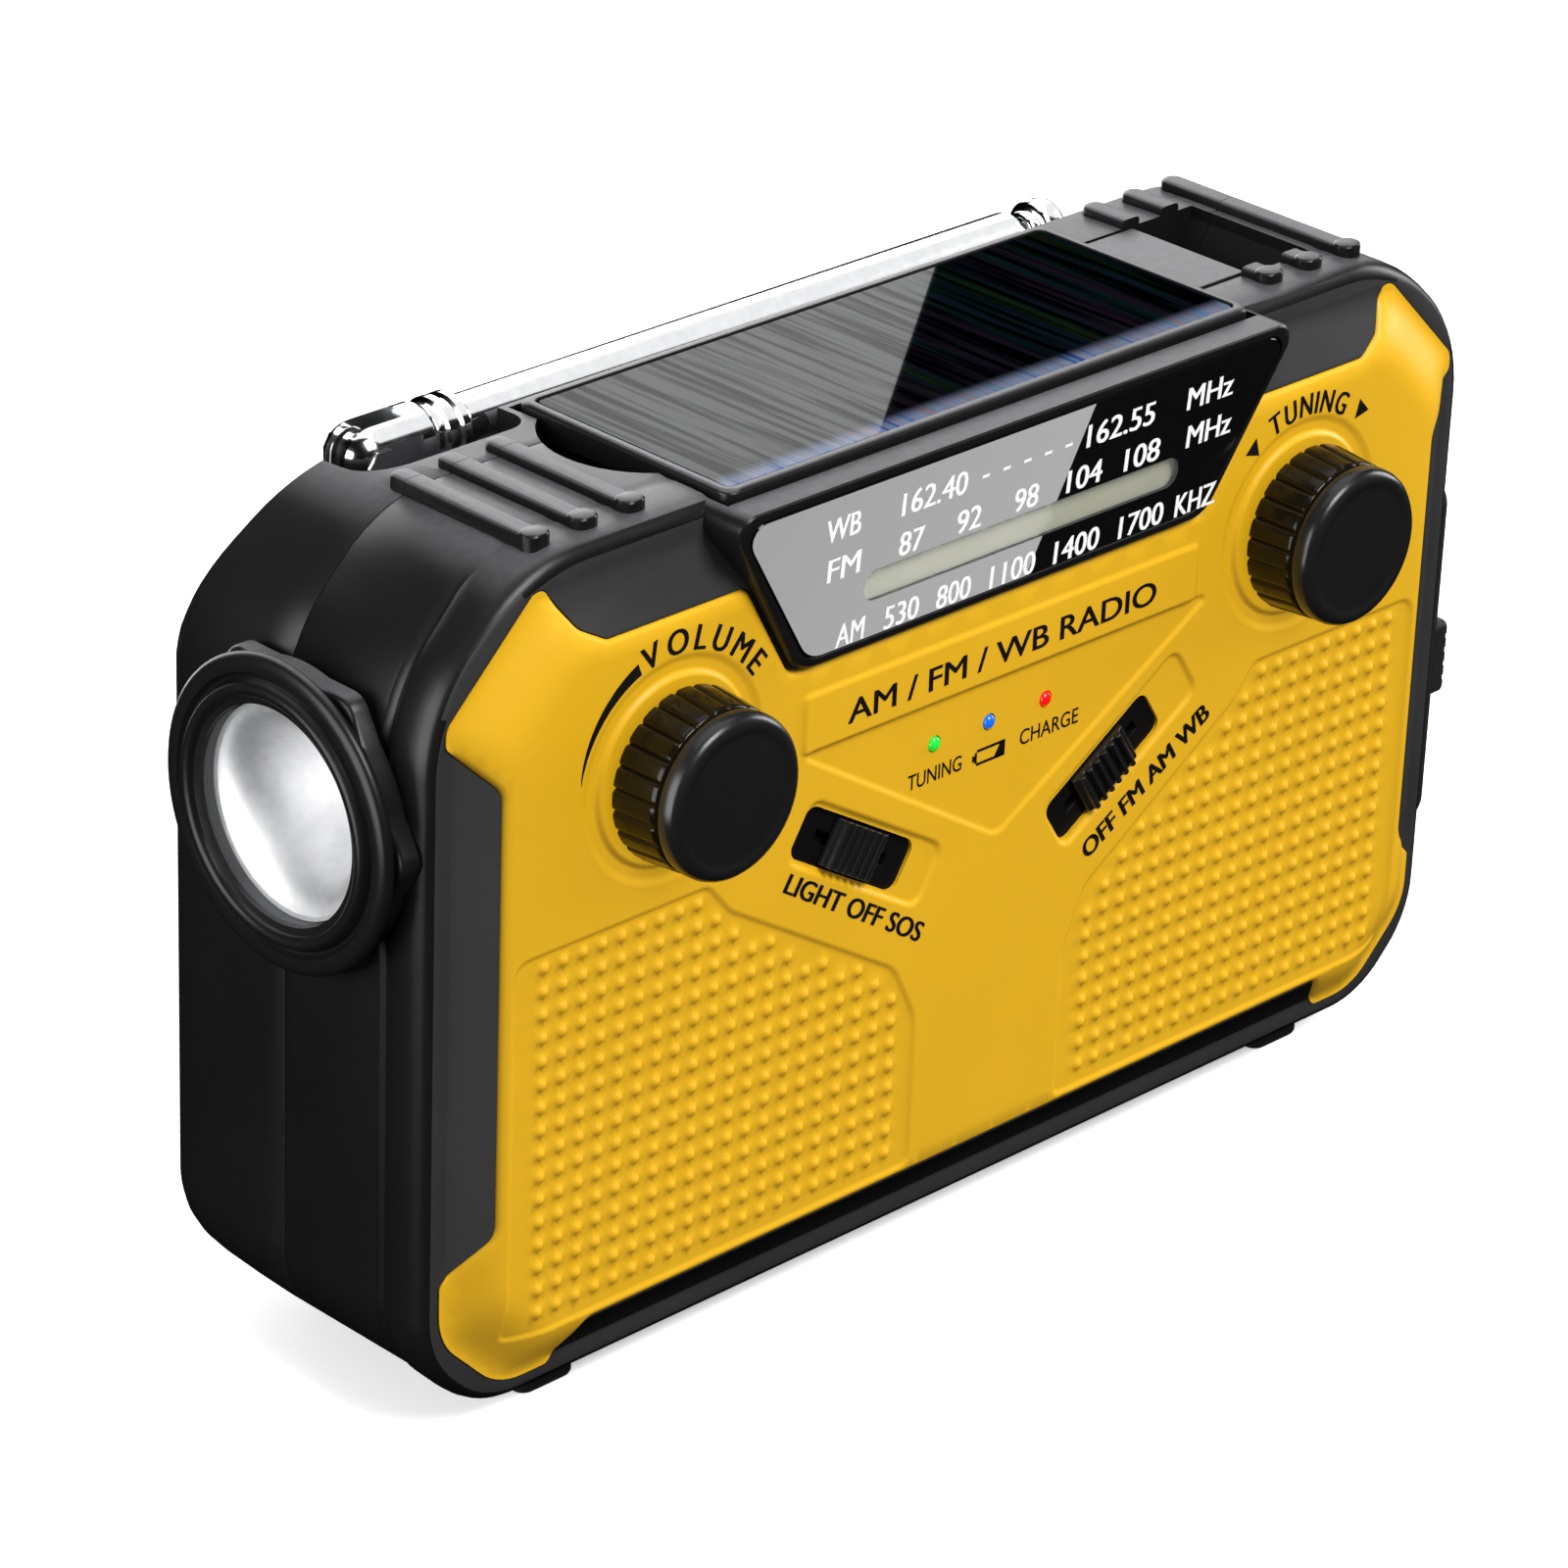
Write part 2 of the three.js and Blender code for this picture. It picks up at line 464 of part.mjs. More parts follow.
const speakerBack = DEPTH - WALL - 1.2;
add("speaker_frame", ring([[SPEAKER.r, speakerBack], [SPEAKER.r, speakerBack - 1.2], [11, 34.5], [9.5, 34.5], [9.5, 29.0],
  [3.2, 29.0], [3.2, 35.5], [10.2, 35.5], [15.4, speakerBack]], 20), STEEL, [SPEAKER.x, 0, SPEAKER.z]);
add("speaker_cone", turned([[0, 37.4], [3, 37.4], [9.8, 39.2], [14.4, speakerBack - 0.2], [14.4, speakerBack - 1.0],
  [9.6, 38.0], [3, 36.2], [0, 36.2]], 20), paint(0x2a2522, 0.9), [SPEAKER.x, 0, SPEAKER.z]);

// A metal socket shell, open towards +x.
function socket(width, height) {
  const x = [68, HALF_WIDTH - 0.4];
  const outer = block(x, [-width / 2, width / 2], [-height / 2, height / 2]);
  const inner = block([x[0] + 1, x[1] + 1], [-width / 2 + 0.4, width / 2 - 0.4], [-height / 2 + 0.4, height / 2 - 0.4]);
  return cut(outer, inner);
}
add("usb_port", socket(7.0, 14.5), STEEL, [0, 16.5, 52.25]);
add("charge_port", socket(4.1, 9.6), STEEL, [0, 16.55, 35.5]);

// ---------------------------------------------------------------- flashlight in the left end
function lampAlongX(points, sides) {
  return ring(points, sides).rotateZ(Math.PI / 2);
}
// Turned about the x axis: a distance t along the profile ends at x = -t.
const lampAt = [0, LAMP.y, LAMP.z];
const base = -LAMP.baseX;
const front = -LAMP.frontX;
const bezelRing = lampAlongX([[LAMP.boreR, base - 8], [13.2, base - 8], [13.2, base - 0.3], [LAMP.outerR - 1.2, base],
  [LAMP.outerR - 1.2, base + 2.6], [LAMP.outerR, base + 2.9], [LAMP.outerR, base + 3.7], [LAMP.outerR - 0.9, base + 4.3],
  [14.6, base + 4.3], [14.3, front], [LAMP.boreR + 0.7, front], [LAMP.boreR, front - 0.8]]);
const hexFlange = cut(
  barX(LAMP.hexR, LAMP.baseX - 2.2, LAMP.baseX, 6).rotateX(Math.PI / 2),
  barX(14, LAMP.baseX - 5, LAMP.baseX + 5));
add("flashlight_bezel", toSolid(bezelRing).add(hexFlange), BLACK, lampAt);
const lensX = -(front - 0.9);
add("flashlight_lens", barX(LAMP.boreR - 0.2, lensX, lensX + 1.5), CLEAR, lampAt);
const reflectorFront = -lensX - 1.8;
add("flashlight_reflector", lampAlongX([[11.9, reflectorFront], [10.9, reflectorFront], [8.6, reflectorFront - 8],
  [3.0, reflectorFront - 13], [3.0, reflectorFront - 14], [9.6, reflectorFront - 9]]), MIRROR, lampAt);
add("flashlight_led", joined(barX(2.4, -reflectorFront + 12.4, -reflectorFront + 15, 12),
  barX(6.5, -reflectorFront + 14.4, -reflectorFront + 17, 12)), NYLON, lampAt);

// ---------------------------------------------------------------- solar lid with reading lamp
function solarLid() {
  const tab = block([LID.halfLength - 1, HINGE.tabEnd], [HINGE.front, HINGE.back], [HINGE.z - 1.6, TOP]);
  const frame = block([-LID.halfLength, LID.halfLength], [LID.front, LID.back], [LID.bottom, LID.top]);
  const pin = barY(HINGE.pinR + 0.15, HINGE.front - 1, HINGE.back + 1, 12).translate(HINGE.x, 0, HINGE.z);
  return cut(joined(frame, tab), pin,
    block([-LID.halfLength + 1.3, LID.halfLength - 1.3], [LID.front + 1.3, LID.back - 1.3], [LID.top - 1.0, LID.top + 1]),
    block([-31, 31], [10, 26], [LID.bottom - 1, LID.bottom + 1.4]));
}
add("solar_lid", solarLid(), BLACK);
add("solar_cell", block([-LID.halfLength + 1.5, LID.halfLength - 1.5], [LID.front + 1.5, LID.back - 1.5],
  [LID.top - 0.8, LID.top - 0.15]), SILICON);
add("lamp_lens", block([-30.8, 30.8], [10.2, 25.8], [LID.bottom + 0.1, LID.bottom + 1.2]), NYLON);
add("lid_hinge_pin", barY(HINGE.pinR, HINGE.front - 0.3, HINGE.back + 0.3, 10), STEEL, [HINGE.x, 0, HINGE.z]);

// ---------------------------------------------------------------- telescopic antenna
const antenna = new THREE.Group();
antenna.position.set(0, ANTENNA.y, ANTENNA.z);
layout.add(antenna);
const pivot = ANTENNA.pivotX;
// The swivel: a stud with a tongue that the knuckle's two cheeks hold.
add("antenna_base", joined(
  barZ(3.4, -5.9, -4.3, 16).translate(pivot, 0, 0),
  block([pivot - 2.6, pivot + 2.6], [-1.2, 1.2], [-4.8, 0]),
  barY(2.6, -1.2, 1.2, 16).translate(pivot, 0, 0)), CHROME, [0, 0, 0], antenna);
function antennaKnuckle() {
  const body = joined(
    barX(ANTENNA.knuckleR, pivot, ANTENNA.rodStart - 0.1, 16),
    new THREE.SphereGeometry(ANTENNA.knuckleR, 16, 8).rotateZ(Math.PI / 2).translate(pivot, 0, 0));
  const slotLength = 5.0;
  const knuckle = cut(body,
    block([pivot - 8, pivot + slotLength], [-1.5, 1.5], [-8, 8]),
    ...SIDES.map((side) => block([pivot - 8, pivot + 8], [side * 4.6 - 1.2, side * 4.6 + 1.2], [-8, 8])));
  // The cheeks' bridge keeps the two sides one piece; the screw crosses both.
  return knuckle.add(toSolid(barX(3.2, pivot + slotLength, ANTENNA.rodStart - 0.1, 16)));
}
add("antenna_knuckle", antennaKnuckle(), CHROME, [0, 0, 0], antenna);
const tube = (outer, inner, x0, x1) => inner > 0
  ? ring([[inner, x0], [outer, x0], [outer, x1], [inner, x1]], 12).rotateZ(-Math.PI / 2)
  : barX(outer, x0, x1, 12);
ANTENNA_TUBES.forEach(([outer, inner], i) => {
  const last = i === ANTENNA_TUBES.length - 1;
  add("antenna_tube_" + (i + 1),
    tube(outer, inner, ANTENNA.rodStart + GAP + i * 0.8, last ? ANTENNA.rodEnd + 1.2 : ANTENNA.rodEnd), CHROME, [0, 0, 0], antenna);
});
add("antenna_tip", barX(3.3, ANTENNA.rodEnd + 1.5, ANTENNA.tipEnd, 16), CHROME, [0, 0, 0], antenna);

// ---------------------------------------------------------------- crank, gears and generator
// Straight-sided teeth with room between them, so that turning gears never touch.
function gear(teeth, y0, y1, phase) {
  const pitchR = (MODULE * teeth) / 2;
  const shape = new THREE.Shape();
  const step = (Math.PI * 2) / teeth;
  for (let i = 0; i < teeth; i++) {
    const middle = i * step + phase;
    const spots = [[pitchR - 1.15, -0.30], [pitchR + 0.75, -0.11], [pitchR + 0.75, 0.11], [pitchR - 1.15, 0.30]];
    spots.forEach(([r, part], k) => {
      const angle = middle + part * step;
      const at = [r * Math.cos(angle), r * Math.sin(angle)];
      if (i === 0 && k === 0) shape.moveTo(...at);
      else shape.lineTo(...at);
    });
  }
  shape.closePath();
  return alongY(shape, y0, y1);
}
const CENTRES = (MODULE * (GEAR_TEETH + PINION_TEETH)) / 2;
const idlerAt = [CRANK.x - CENTRES, CRANK.z];
const rotorAt = [idlerAt[0], idlerAt[1] + CENTRES];
const halfTooth = (teeth) => Math.PI / teeth;
const [crankLayer, generatorLayer] = [GEAR_LAYERS.crank, GEAR_LAYERS.generator];
add("crank_gear", joined(gear(GEAR_TEETH, ...crankLayer, 0), barY(4.0, 32.9, CRANK.dishFloor + 0.6, 16)),
  NYLON, [CRANK.x, 0, CRANK.z]);
add("idler_gear", joined(
  gear(PINION_TEETH, crankLayer[0], crankLayer[1], halfTooth(PINION_TEETH)),
  gear(GEAR_TEETH, ...generatorLayer, Math.PI / 2),
  barY(3.4, generatorLayer[1] - 0.5, crankLayer[0] + 0.5, 12)),
  NYLON, [idlerAt[0], 0, idlerAt[1]]);
add("generator_rotor", joined(
  gear(PINION_TEETH, ...generatorLayer, -Math.PI / 2 + halfTooth(PINION_TEETH)),
  barY(1.5, 23.5, 30.5, 10),
  barY(7.0, 23.5, 27.5, 16)),
  STEEL, [rotorAt[0], 0, rotorAt[1]]);
add("generator_stator", ring([[7.6, 22.9], [11.5, 22.9], [11.5, 28.9], [7.6, 28.9]], 20), COPPER,
  [rotorAt[0], 0, rotorAt[1]]);

// The crank arm hangs down in its round dish, with the folding grip lying in its slot.
const armLow = CRANK.z - CRANK.armLength;
const ARM = { front: CRANK.dishFloor + 0.9, back: CRANK.dishFloor + 0.9 + CRANK.armThick };
const GRIP = { r: 4.2, hingeZ: armLow - 1.5, length: 17, y: 0 };
GRIP.y = ARM.front + 4.4;
function crankArm() {
  const half = CRANK.armWidth / 2;
  const outline = roundedOutline([[-half, armLow - 3.5], [half, armLow - 3.5], [half, CRANK.z + half],
    [-half, CRANK.z + half]].map(([x, z]) => [x + CRANK.x, z]), 5);
  const slot = block([CRANK.x - 5.0, CRANK.x + 5.0], [ARM.front - 1, ARM.back + 1], [armLow - 8, GRIP.hingeZ + GRIP.length + 3.4]);
  return cut(alongY(outline, ARM.front, ARM.back), slot);
}
add("crank_arm", crankArm(), BLACK);
add("crank_yoke", joined(
  block([-4.6, 4.6], [-1.6, 1.6], [-1.4, 1.4]),
  barZ(1.6, 1, GRIP.length - 1.5, 12)), STEEL, [CRANK.x, GRIP.y, GRIP.hingeZ]);
add("crank_grip", ring([[1.9, 2.0], [GRIP.r, 2.0], [GRIP.r, GRIP.length], [1.9, GRIP.length]], 16)
  .rotateX(Math.PI / 2), BLACK, [CRANK.x, GRIP.y, GRIP.hingeZ]);

// ---------------------------------------------------------------- port cover, feet and screws
add("port_cover", joined(
  block([COVER.x0, COVER.x1], [COVER.front, COVER.back], [COVER.z0, COVER.z1]),
  block([COVER.x1 - 0.5, COVER_TAB.x1], [COVER.front, COVER_TAB.back], [COVER_TAB.z0, COVER_TAB.z1])), RUBBER);
FEET.ys.forEach((y, j) => SIDES.forEach((side, i) => {
  add("foot_" + (j * 2 + i + 1), block([-FEET.length / 2, FEET.length / 2], [-FEET.width / 2, FEET.width / 2],
    [0, FEET.top]), RUBBER, [side * FEET.x, y, 0]);
}));
screwSpots.forEach(([x, z], i) => {
  add("screw_" + (i + 1), barY(2.0, DEPTH - 1.0, DEPTH - 0.1, 10), STEEL, [x, 0, z]);
});

// ---------------------------------------------------------------- the part's own frame
// The origin is the middle of the underside of the whole radio's box.
const box = new THREE.Box3().setFromObject(radio, true);
layout.position.set(-(box.min.x + box.max.x) / 2, -(box.min.y + box.max.y) / 2, 0);
radio.updateMatrixWorld(true);

export default radio;
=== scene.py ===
"""Looks of the portable emergency radio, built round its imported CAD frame."""
import json
import math
from contextlib import contextmanager

import bmesh
import bpy
import numpy as np
from mathutils import Matrix, Vector
from mathutils.geometry import delaunay_2d_cdt


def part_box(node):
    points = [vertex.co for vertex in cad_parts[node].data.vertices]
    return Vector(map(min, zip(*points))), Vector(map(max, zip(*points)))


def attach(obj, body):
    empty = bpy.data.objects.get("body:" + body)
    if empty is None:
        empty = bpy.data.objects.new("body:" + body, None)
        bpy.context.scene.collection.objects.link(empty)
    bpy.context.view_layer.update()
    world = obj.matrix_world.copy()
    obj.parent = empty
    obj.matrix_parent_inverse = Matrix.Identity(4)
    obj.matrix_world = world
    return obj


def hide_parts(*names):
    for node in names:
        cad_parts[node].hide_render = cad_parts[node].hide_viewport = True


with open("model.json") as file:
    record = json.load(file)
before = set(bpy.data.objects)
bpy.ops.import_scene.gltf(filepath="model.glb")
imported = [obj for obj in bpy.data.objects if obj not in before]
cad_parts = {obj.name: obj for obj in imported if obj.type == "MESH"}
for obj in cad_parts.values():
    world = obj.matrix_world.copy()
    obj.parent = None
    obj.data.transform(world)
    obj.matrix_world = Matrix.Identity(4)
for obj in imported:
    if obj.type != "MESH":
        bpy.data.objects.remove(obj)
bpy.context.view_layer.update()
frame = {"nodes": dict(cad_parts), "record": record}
MM = 0.001

# The layout frame of the design: x from the radio's middle, y from the face's front, z from the table, in mm.
BOARD_LEFT, BOARD_FRONT = -61.0, 16.0
_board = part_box("main_board")[0] / MM
SHIFT = Vector((_board.x - BOARD_LEFT, _board.y - BOARD_FRONT, 0.0))

HALF_WIDTH, BELLY, TOP, DEPTH = 79.5, 3.0, 100.0, 46.5
CUT_TOP, CUT_BOTTOM = 13.0, 8.5
SLOPE_Z, SLOPE_TOP_Y = 72.0, 37.8
KNOB_X, KNOB_Z = 48.6, 72.8
CRANK_X, CRANK_Z, DISH_R, DISH_FLOOR = 38.0, 50.0, 33.0, 40.2
LAMP_Y, LAMP_Z = 21.8, 70.6


# ---------------------------------------------------------------- materials
class Nodes:
    """A short way to write a material's node tree."""

    def __init__(self, name):
        self.material = bpy.data.materials.new(name)
        self.material.use_nodes = True
        self.tree = self.material.node_tree
        self.bsdf = self.tree.nodes["Principled BSDF"]
        self.coords = self.add("ShaderNodeTexCoord").outputs["Object"]

    def add(self, kind, **values):
        node = self.tree.nodes.new(kind)
        for key, value in values.items():
            setattr(node, key, value)
        return node

    def link(self, source, target):
        self.tree.links.new(source, target)

    def shade(self, source, socket):
        self.link(source, self.bsdf.inputs[socket])

    def set(self, **values):
        for key, value in values.items():
            self.bsdf.inputs[key.replace("_", " ")].default_value = value

    def noise(self, scale, detail=3.0, stretch=(1, 1, 1)):
        mapping = self.add("ShaderNodeMapping")
        mapping.inputs["Scale"].default_value = stretch
        self.link(self.coords, mapping.inputs["Vector"])
        noise = self.add("ShaderNodeTexNoise")
        noise.inputs["Scale"].default_value = scale
        noise.inputs["Detail"].default_value = detail
        self.link(mapping.outputs["Vector"], noise.inputs["Vector"])
        return noise.outputs["Fac"]

    def ramp(self, factor, stops):
        ramp = self.add("ShaderNodeValToRGB")
        elements = ramp.color_ramp.elements
        while len(elements) < len(stops):
            elements.new(0.5)
        for element, (place, color) in zip(elements, stops):
            element.position = place
            element.color = (*color, 1)
        self.link(factor, ramp.inputs["Fac"])
        return ramp.outputs["Color"]

    def limits(self, value, low, high, start=0.0, end=1.0, kind="SMOOTHSTEP"):
        """Start where the value is low, end where it is high, and a step between."""
        node = self.add("ShaderNodeMapRange", interpolation_type=kind)
        for key, number in (("From Min", low), ("From Max", high), ("To Min", start), ("To Max", end)):
            node.inputs[key].default_value = number
        self.link(value, node.inputs["Value"])
        return node.outputs["Result"]

    def span(self, factor, start, end):
        return self.limits(factor, 0.0, 1.0, start, end, "LINEAR")

    def bump(self, height, strength, distance):
        node = self.add("ShaderNodeBump")
        node.inputs["Strength"].default_value = strength
        node.inputs["Distance"].default_value = distance
        self.link(height, node.inputs["Height"])
        self.shade(node.outputs["Normal"], "Normal")

    def mixed(self, factor, first, second):
        node = self.add("ShaderNodeMix", data_type="RGBA")
        for socket, source in ((0, factor), (6, first), (7, second)):
            self.link(source, node.inputs[socket])
        return node.outputs[2]

    def painted_sheen_mask(self):
        """1 on the faces that look straight up or backwards, 0 on the others and round the edges: the mask of
        the painted sheen.
        """
        normal = self.add("ShaderNodeSeparateXYZ")
        self.link(self.add("ShaderNodeTexCoord").outputs["Normal"], normal.inputs[0])
        both = self.add("ShaderNodeMath", operation="MAXIMUM")
        self.link(self.limits(normal.outputs["Z"], 0.8, 0.995), both.inputs[0])
        self.link(self.limits(normal.outputs["Y"], 0.9, 0.995), both.inputs[1])
        return both.outputs[0]


def srgb(r, g, b):
    def one(c):
        c /= 255
        return c / 12.92 if c <= 0.04045 else ((c + 0.055) / 1.055) ** 2.4
    return one(r), one(g), one(b)


def shades(color, dark, pale):
    """Two stops of a colour ramp round the colour."""
    return [(place, tuple(min(1.0, c * factor) for c in color))
            for place, factor in ((0.3, dark), (0.7, pale))]


def moulded(name, color, roughness, grain=1400, depth=0.00002, spread=0.10, specular=0.5, uneven=0.05,
            painted_sheen_color=None):
    """Moulded plastic: faint colour clouds, uneven gloss and a fine grain. The optional paler colour is
    painted onto the faces that look straight up or backwards, a painted sheen of the lights above and behind;
    those faces are also made rougher."""
    m = Nodes(name)
    base = m.ramp(m.noise(45, 4), shades(color, 1 - spread, 1 + spread))
    if painted_sheen_color:
        painted_sheen_mask = m.painted_sheen_mask()
        base = m.mixed(painted_sheen_mask, base, m.ramp(m.noise(900, 5), shades(painted_sheen_color, 0.85, 1.15)))
        gloss = m.span(painted_sheen_mask, roughness, roughness + 0.12)
    else:
        gloss = m.span(m.noise(160, 5), roughness - uneven, roughness + uneven)
    m.shade(base, "Base Color")
    m.shade(gloss, "Roughness")
    m.bump(m.noise(grain, 3), 0.35, depth)
    m.set(Specular_IOR_Level=specular)
    return m.material


def metal(name, color, roughness, brushed=(1, 1, 1)):
    m = Nodes(name)
    grain = m.noise(900, 4, brushed)
    m.shade(m.ramp(grain, shades(color, 0.94, 1.03)), "Base Color")
    m.shade(m.span(grain, roughness - 0.03, roughness + 0.05), "Roughness")
    m.bump(grain, 0.2, 0.000004)
    m.set(Metallic=1.0)
    return m.material


def glassy(name, color, alpha):
    """Clear moulded cover: see-through, with a glossy skin."""
    m = Nodes(name)
    m.shade(m.ramp(m.noise(60, 3), shades(color, 0.96, 1.0)), "Base Color")
    m.shade(m.span(m.noise(300, 3), 0.03, 0.06), "Roughness")
    m.set(Alpha=alpha, Specular_IOR_Level=0.6)
    return m.material


def glowing(name, color):
    m = Nodes(name)
    m.shade(m.ramp(m.noise(700, 2), shades(color, 0.85, 1.0)), "Base Color")
    m.set(Roughness=0.15, Emission_Color=(*color, 1), Emission_Strength=0.6, Coat_Weight=1.0)
    return m.material


def solar_face():
    """Dark cells with uneven collector streaks along y, a rainbow tint and a pale band by the front edge."""
    m = Nodes("solar_face")
    tint = m.ramp(m.noise(330, 2, (1, 0.03, 1)), [
        (0.25, (0.007, 0.006, 0.003)), (0.4, (0.002, 0.008, 0.004)), (0.5, (0.002, 0.005, 0.009)),
        (0.6, (0.006, 0.003, 0.007)), (0.75, (0.003, 0.008, 0.007))])
    lines = m.noise(1000, 2, (1, 0.035, 1))
    streaks = m.ramp(lines, [(0.4, (0.02, 0.02, 0.02)), (0.6, (1, 1, 1))])
    cells = m.add("ShaderNodeMix", data_type="RGBA", blend_type="MULTIPLY")
    cells.inputs[0].default_value = 1.0
    m.link(tint, cells.inputs[6])
    m.link(streaks, cells.inputs[7])
    place = m.add("ShaderNodeSeparateXYZ")
    m.link(m.coords, place.inputs[0])
    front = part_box("solar_cell")[0].y
    band = m.limits(place.outputs["Y"], front + 0.4 * MM, front + 3.2 * MM, 1.0, 0.0)
    rainbow = m.ramp(m.noise(900, 3, (1, 0.02, 1)), [(0.3, (0.03, 0.05, 0.16)), (0.42, (0.09, 0.15, 0.26)),
                                                     (0.5, (0.16, 0.15, 0.22)), (0.6, (0.08, 0.14, 0.2)),
                                                     (0.7, (0.18, 0.12, 0.15))])
    m.shade(m.mixed(band, cells.outputs[2], rainbow), "Base Color")
    m.shade(m.span(m.noise(400, 3), 0.3, 0.42), "Roughness")
    m.bump(streaks, 0.2, 0.00001)
    m.shade(m.limits(lines, 0.38, 0.58, 0.62, 1.0), "Coat Weight")
    m.set(Specular_IOR_Level=0.0, Coat_Roughness=0.015)
    return m.material


# The shell and lid blacks are painted paler on the faces that look up or backwards: a painted sheen.
BLACK = moulded("black_shell", srgb(18, 18, 19), 0.34, 2600, 0.000012, specular=0.26, painted_sheen_color=srgb(66, 66, 68))
# A paler grey for the forward slopes beside and over the yellow plate: a painted sheen on the same black
# plastic.
BLACK_PAD_PAINTED_SHEEN = moulded("black_pad_painted_sheen", srgb(48, 48, 49), 0.42, 2600, 0.000012, specular=0.26)
BLACK_LID = moulded("black_lid", srgb(18, 18, 19), 0.34, 2600, 0.000012, specular=0.3, painted_sheen_color=srgb(74, 74, 76))
BLACK_PART = moulded("black_part", srgb(22, 22, 23), 0.34, 2600, 0.000012, specular=0.35)
BLACK_MATT = moulded("black_matt", srgb(13, 13, 14), 0.5, 1200, 0.00001, specular=0.1)
BLACK_GLOSS = moulded("black_gloss", srgb(24, 24, 25), 0.27, 900, 0.000003, specular=0.4)
YELLOW = moulded("yellow_face", srgb(224, 172, 26), 0.4, 2600, 0.00001, 0.02, specular=0.3)
SMOKE = moulded("smoke_knob", srgb(19, 15, 7), 0.18, 900, 0.00001, 0.3, specular=0.22)
DIAL_BLACK = moulded("dial_black", srgb(12, 12, 13), 0.008, 600, 0.0000002, 0.05, specular=0.15, uneven=0.006)
OLIVE = moulded("dial_olive", srgb(172, 173, 150), 0.5, 1200, 0.00001, 0.05, specular=0.2)
WHITE_INK = moulded("white_ink", srgb(250, 250, 250), 0.45, 1500, 0.000005, 0.02)
BLACK_INK = moulded("black_ink", srgb(18, 15, 10), 0.45, 1500, 0.000005, specular=0.2)
RUBBER = moulded("black_rubber", srgb(24, 24, 24), 0.62, 900, 0.00005, specular=0.3)
CHROME = metal("chrome", (0.93, 0.935, 0.95), 0.11)
STEEL = metal("steel", (0.55, 0.56, 0.58), 0.3, (1, 12, 1))
MIRROR = metal("reflector_mirror", (0.95, 0.95, 0.96), 0.5)
COPPER = metal("copper", (0.75, 0.38, 0.2), 0.3, (1, 1, 14))
NYLON = moulded("nylon", srgb(222, 217, 204), 0.5)
BOARD = moulded("board", srgb(30, 96, 52), 0.45, 700, 0.00003)
CLEAR = glassy("clear", (0.5, 0.52, 0.53), 0.06)
RED = moulded("pointer_red", srgb(206, 34, 28), 0.35)
WRAP = moulded("cell_wrap", srgb(52, 108, 168), 0.3, 500, 0.00003)
PAPER = moulded("paper_cone", srgb(44, 39, 36), 0.9, 500, 0.0001)
MILKY = moulded("lamp_milky", srgb(205, 205, 198), 0.4)
SOLAR = solar_face()

BY_SLOT = {
    "black_plastic": BLACK_PART, "yellow_plastic": YELLOW, "smoke_plastic": SMOKE, "dial_glass": DIAL_BLACK,
    "scale_olive": OLIVE, "pointer_red": RED, "chrome": CHROME, "steel": STEEL, "rubber": RUBBER,
    "nylon": NYLON, "board": BOARD, "copper": COPPER, "silicon": SOLAR, "clear": CLEAR,
    "mirror": MIRROR, "cell_wrap": WRAP, "paper_cone": PAPER, "lamp_white": MILKY,
}
for entry in frame["record"]["subparts"]:
    node = frame["nodes"][entry["node"]]
    node.data.materials.clear()
    node.data.materials.append(BY_SLOT[entry["material_slot"]])


# ---------------------------------------------------------------- mesh helpers, in layout mm
@contextmanager
def edited(mesh):
    """Opens the mesh for editing and writes it back."""
    bm = bmesh.new()
    bm.from_mesh(mesh)
    yield bm
    bm.to_mesh(mesh)
    bm.free()


def obj_from(name, verts, faces, material, smooth=True):
    mesh = bpy.data.meshes.new(name)
    mesh.from_pydata([(Vector(v) + SHIFT) * MM for v in verts], [], faces)
    mesh.validate()
    mesh.materials.append(material)
    obj = bpy.data.objects.new(name, mesh)
    bpy.context.scene.collection.objects.link(obj)
    with edited(mesh) as bm:
        bmesh.ops.recalc_face_normals(bm, faces=bm.faces)
    for face in mesh.polygons:
        face.use_smooth = smooth
    return obj


def apply_all(obj):
    """Bakes the modifiers into the mesh."""
    graph = bpy.context.evaluated_depsgraph_get()
    mesh = bpy.data.meshes.new_from_object(obj.evaluated_get(graph))
    obj.modifiers.clear()
    obj.data = mesh
    return obj


def combine(obj, tools, operation="DIFFERENCE"):
    """Cuts the tools away from the object, or joins them to it."""
    group = bpy.data.collections.new("tools")
    for tool in tools:
        group.objects.link(tool)
    mod = obj.modifiers.new("bool", "BOOLEAN")
    mod.operation = operation
    mod.solver = "EXACT"
    mod.operand_type = "COLLECTION"
    mod.collection = group
    apply_all(obj)
    for tool in tools:
        bpy.data.objects.remove(tool)
    bpy.data.collections.remove(group)
    return obj


def clean(obj):
    """Merges the stray points of a cut and joins its coplanar faces."""
    with edited(obj.data) as bm:
        bmesh.ops.remove_doubles(bm, verts=bm.verts, dist=0.004 * MM)
        bmesh.ops.dissolve_degenerate(bm, edges=bm.edges, dist=0.003 * MM)
        bmesh.ops.dissolve_limit(bm, angle_limit=math.radians(0.4), verts=bm.verts, edges=bm.edges)
    return obj


def soften(obj, width, angle=32):
    """Rounds the sharp edges and shades the flats flat."""
    bevel = obj.modifiers.new("bevel", "BEVEL")
    bevel.width = width * MM
    bevel.segments = 2
    bevel.limit_method = "ANGLE"
    bevel.angle_limit = math.radians(angle)
    bevel.harden_normals = True
    for face in obj.data.polygons:
        face.use_smooth = True
    normals = obj.modifiers.new("normals", "WEIGHTED_NORMAL")
    normals.keep_sharp = True
    return apply_all(obj)


